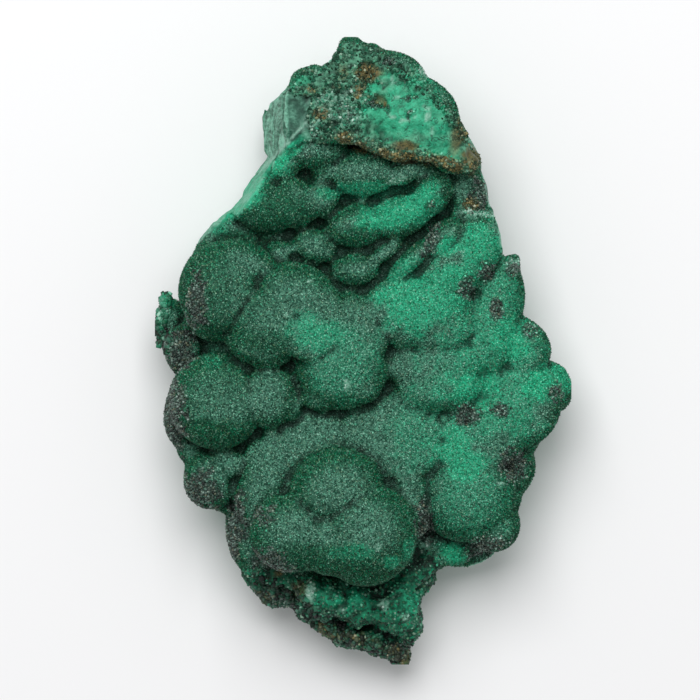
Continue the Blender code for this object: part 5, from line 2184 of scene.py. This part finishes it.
@dataclass
class Studio:
    """Pale floor, one large soft light from the crown's side, white surroundings and the camera."""

    frame_pixels: int = 700
    pixels_long: float = 630.0          # length of the specimen in the frame
    middle: tuple[float, float] = (-2.1, 0.1)
    camera_height: float = 700.0
    floor_half: float = 1500.0
    floor_tone: Tone = Tone(240, 240, 241)
    surround: float = 0.44
    key_place: tuple[float, float, float] = (-60.0, 320.0, 740.0)
    key_size: float = 560.0
    key_power: float = 5.5

    def build(self) -> None:
        """Make the floor, the lights, the surroundings and the camera."""
        self.floor()
        self.key_light()
        self.surroundings()
        self.camera()

    def floor(self) -> None:
        """Large flat floor under the specimen."""
        half = self.floor_half
        points = np.array(((-half, -half, 0), (half, -half, 0), (half, half, 0), (-half, half, 0)), float)
        mesh = triangle_mesh("floor", points, np.array(((0, 1, 2), (0, 2, 3))))
        material, _, shader = start_material("floor_white", Roughness=0.9, Specular_IOR_Level=0.1)
        shader.inputs["Base Color"].default_value = self.floor_tone.linear()
        mesh.materials.append(material)
        new_object("floor", mesh)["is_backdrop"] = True

    def key_light(self) -> None:
        """Large soft light over the crown's side."""
        light = bpy.data.lights.new("key", "AREA")
        light.shape = "SQUARE"
        light.size = self.key_size * MM
        light.energy = self.key_power
        lamp = new_object("key", light)
        lamp.location = Vector(self.key_place) * MM
        lamp.rotation_euler = (-Vector(self.key_place)).to_track_quat("-Z", "Y").to_euler()
        lamp.visible_camera = False

    def surroundings(self) -> None:
        """Even white light from all round."""
        world = bpy.data.worlds.new("white_room")
        world.use_nodes = True
        background = world.node_tree.nodes["Background"]
        background.inputs["Color"].default_value = (1.0, 1.0, 1.0, 1.0)
        background.inputs["Strength"].default_value = self.surround
        bpy.context.scene.world = world
        bpy.context.scene.view_settings.view_transform = "Standard"

    def camera(self) -> None:
        """Camera that looks straight down on the specimen, with no perspective."""
        lens = bpy.data.cameras.new("camera")
        lens.type = "ORTHO"
        lens.ortho_scale = LENGTH * MM * self.frame_pixels / self.pixels_long
        lens.clip_start = 0.01
        eye = new_object("camera", lens)
        eye.location = Vector((self.middle[0], self.middle[1], self.camera_height)) * MM
        bpy.context.scene.camera = eye


# ---- the specimen -----------------------------------------------------------------------------------

def grain_layers() -> list[Grains]:
    """List every layer of grains on the body.

    Returns:
        The layers, in the order in which they are made.
    """
    velvet = GrainFinish("velvet_druse", None, 0.4, 0.15)
    dark = GrainFinish("dark_druse", PALETTE.dark, 0.25, 0.4)
    crumbs = GrainFinish("crust_crumbs", (Tone(4, 52, 34), Tone(100, 156, 126)), 0.6, 0.25, 0.75)
    toe = GrainFinish("toe_crumbs", (Tone(0, 16, 10), Tone(52, 140, 104)), 0.45, 0.4, 0.95)
    ledge, crown_rim, crown_rough, toe_rim, toe_top, ear = KNOB_BANDS
    return [
        Grains("velvet", Habit.NEEDLE, velvet, 0.29, 0.2, 0.36, 0.35, 11, 3,
               zone=Zone.VELVET, bare_zones=(Zone.DARK,)),
        Grains("dark_druse", Habit.BLOCK, dark, 0.42, 0.24, 0.5, 0.45, 12, zone=Zone.DARK,
               bare_zones=(Zone.BROKEN,)),
        Grains("ledge_crumbs", Habit.CRUMB, crumbs, 0.42, 0.26, 0.24, 0.6, 13, sunk=0.1, dent=0.4,
               bands=(ledge,)),
        Grains("crown_crumbs", Habit.BLOCK, crumbs, 0.56, 0.3, 0.36, 0.8, 14, sunk=0.35, dent=0.35,
               tones=(0.4, 1.6), bands=(crown_rim, crown_rough), bare_zones=(Zone.EMERALD, Zone.BROKEN)),
        Grains("toe_crumbs", Habit.CRUMB, toe, 0.7, 0.44, 0.42, 0.6, 15, sunk=0.0, dent=0.45,
               tones=(0.2, 2.0), bands=(toe_rim, ear)),
        Grains("toe_grains", Habit.CRUMB, toe, 0.8, 0.24, 0.24, 0.6, 16, sunk=0.1, dent=0.4,
               bands=(toe_top,), zone=Zone.TOE),
    ]


def main() -> None:
    """Build the studio, the body and its grains, and note the sizes."""
    logging.basicConfig(level=logging.INFO, format="%(name)s: %(message)s")
    solid_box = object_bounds()
    Studio().build()
    crust_outline = next(slab.outline for slab in SLABS if slab.name == "crown_crust")
    zone_map = ZoneMap(GROWTHS, BREAKS, crust_outline, TOE_OUTLINE, SHADES)
    grown = GrownBody(zone_map, BodyFinish())
    body = grown.build()
    corners = read_corners(body.data)
    for layer in grain_layers():
        layer.build(grown.surface, corners)
    boxes = {"solid": solid_box, "visual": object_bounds()}
    sizes = {name: [list(corner) for corner in box] for name, box in boxes.items()}
    for name, (low, high) in sizes.items():
        LOG.info("%s box: %s mm", name, [round((b - a) / MM, 1) for a, b in zip(low, high)])


if __name__ == "__main__":
    main()
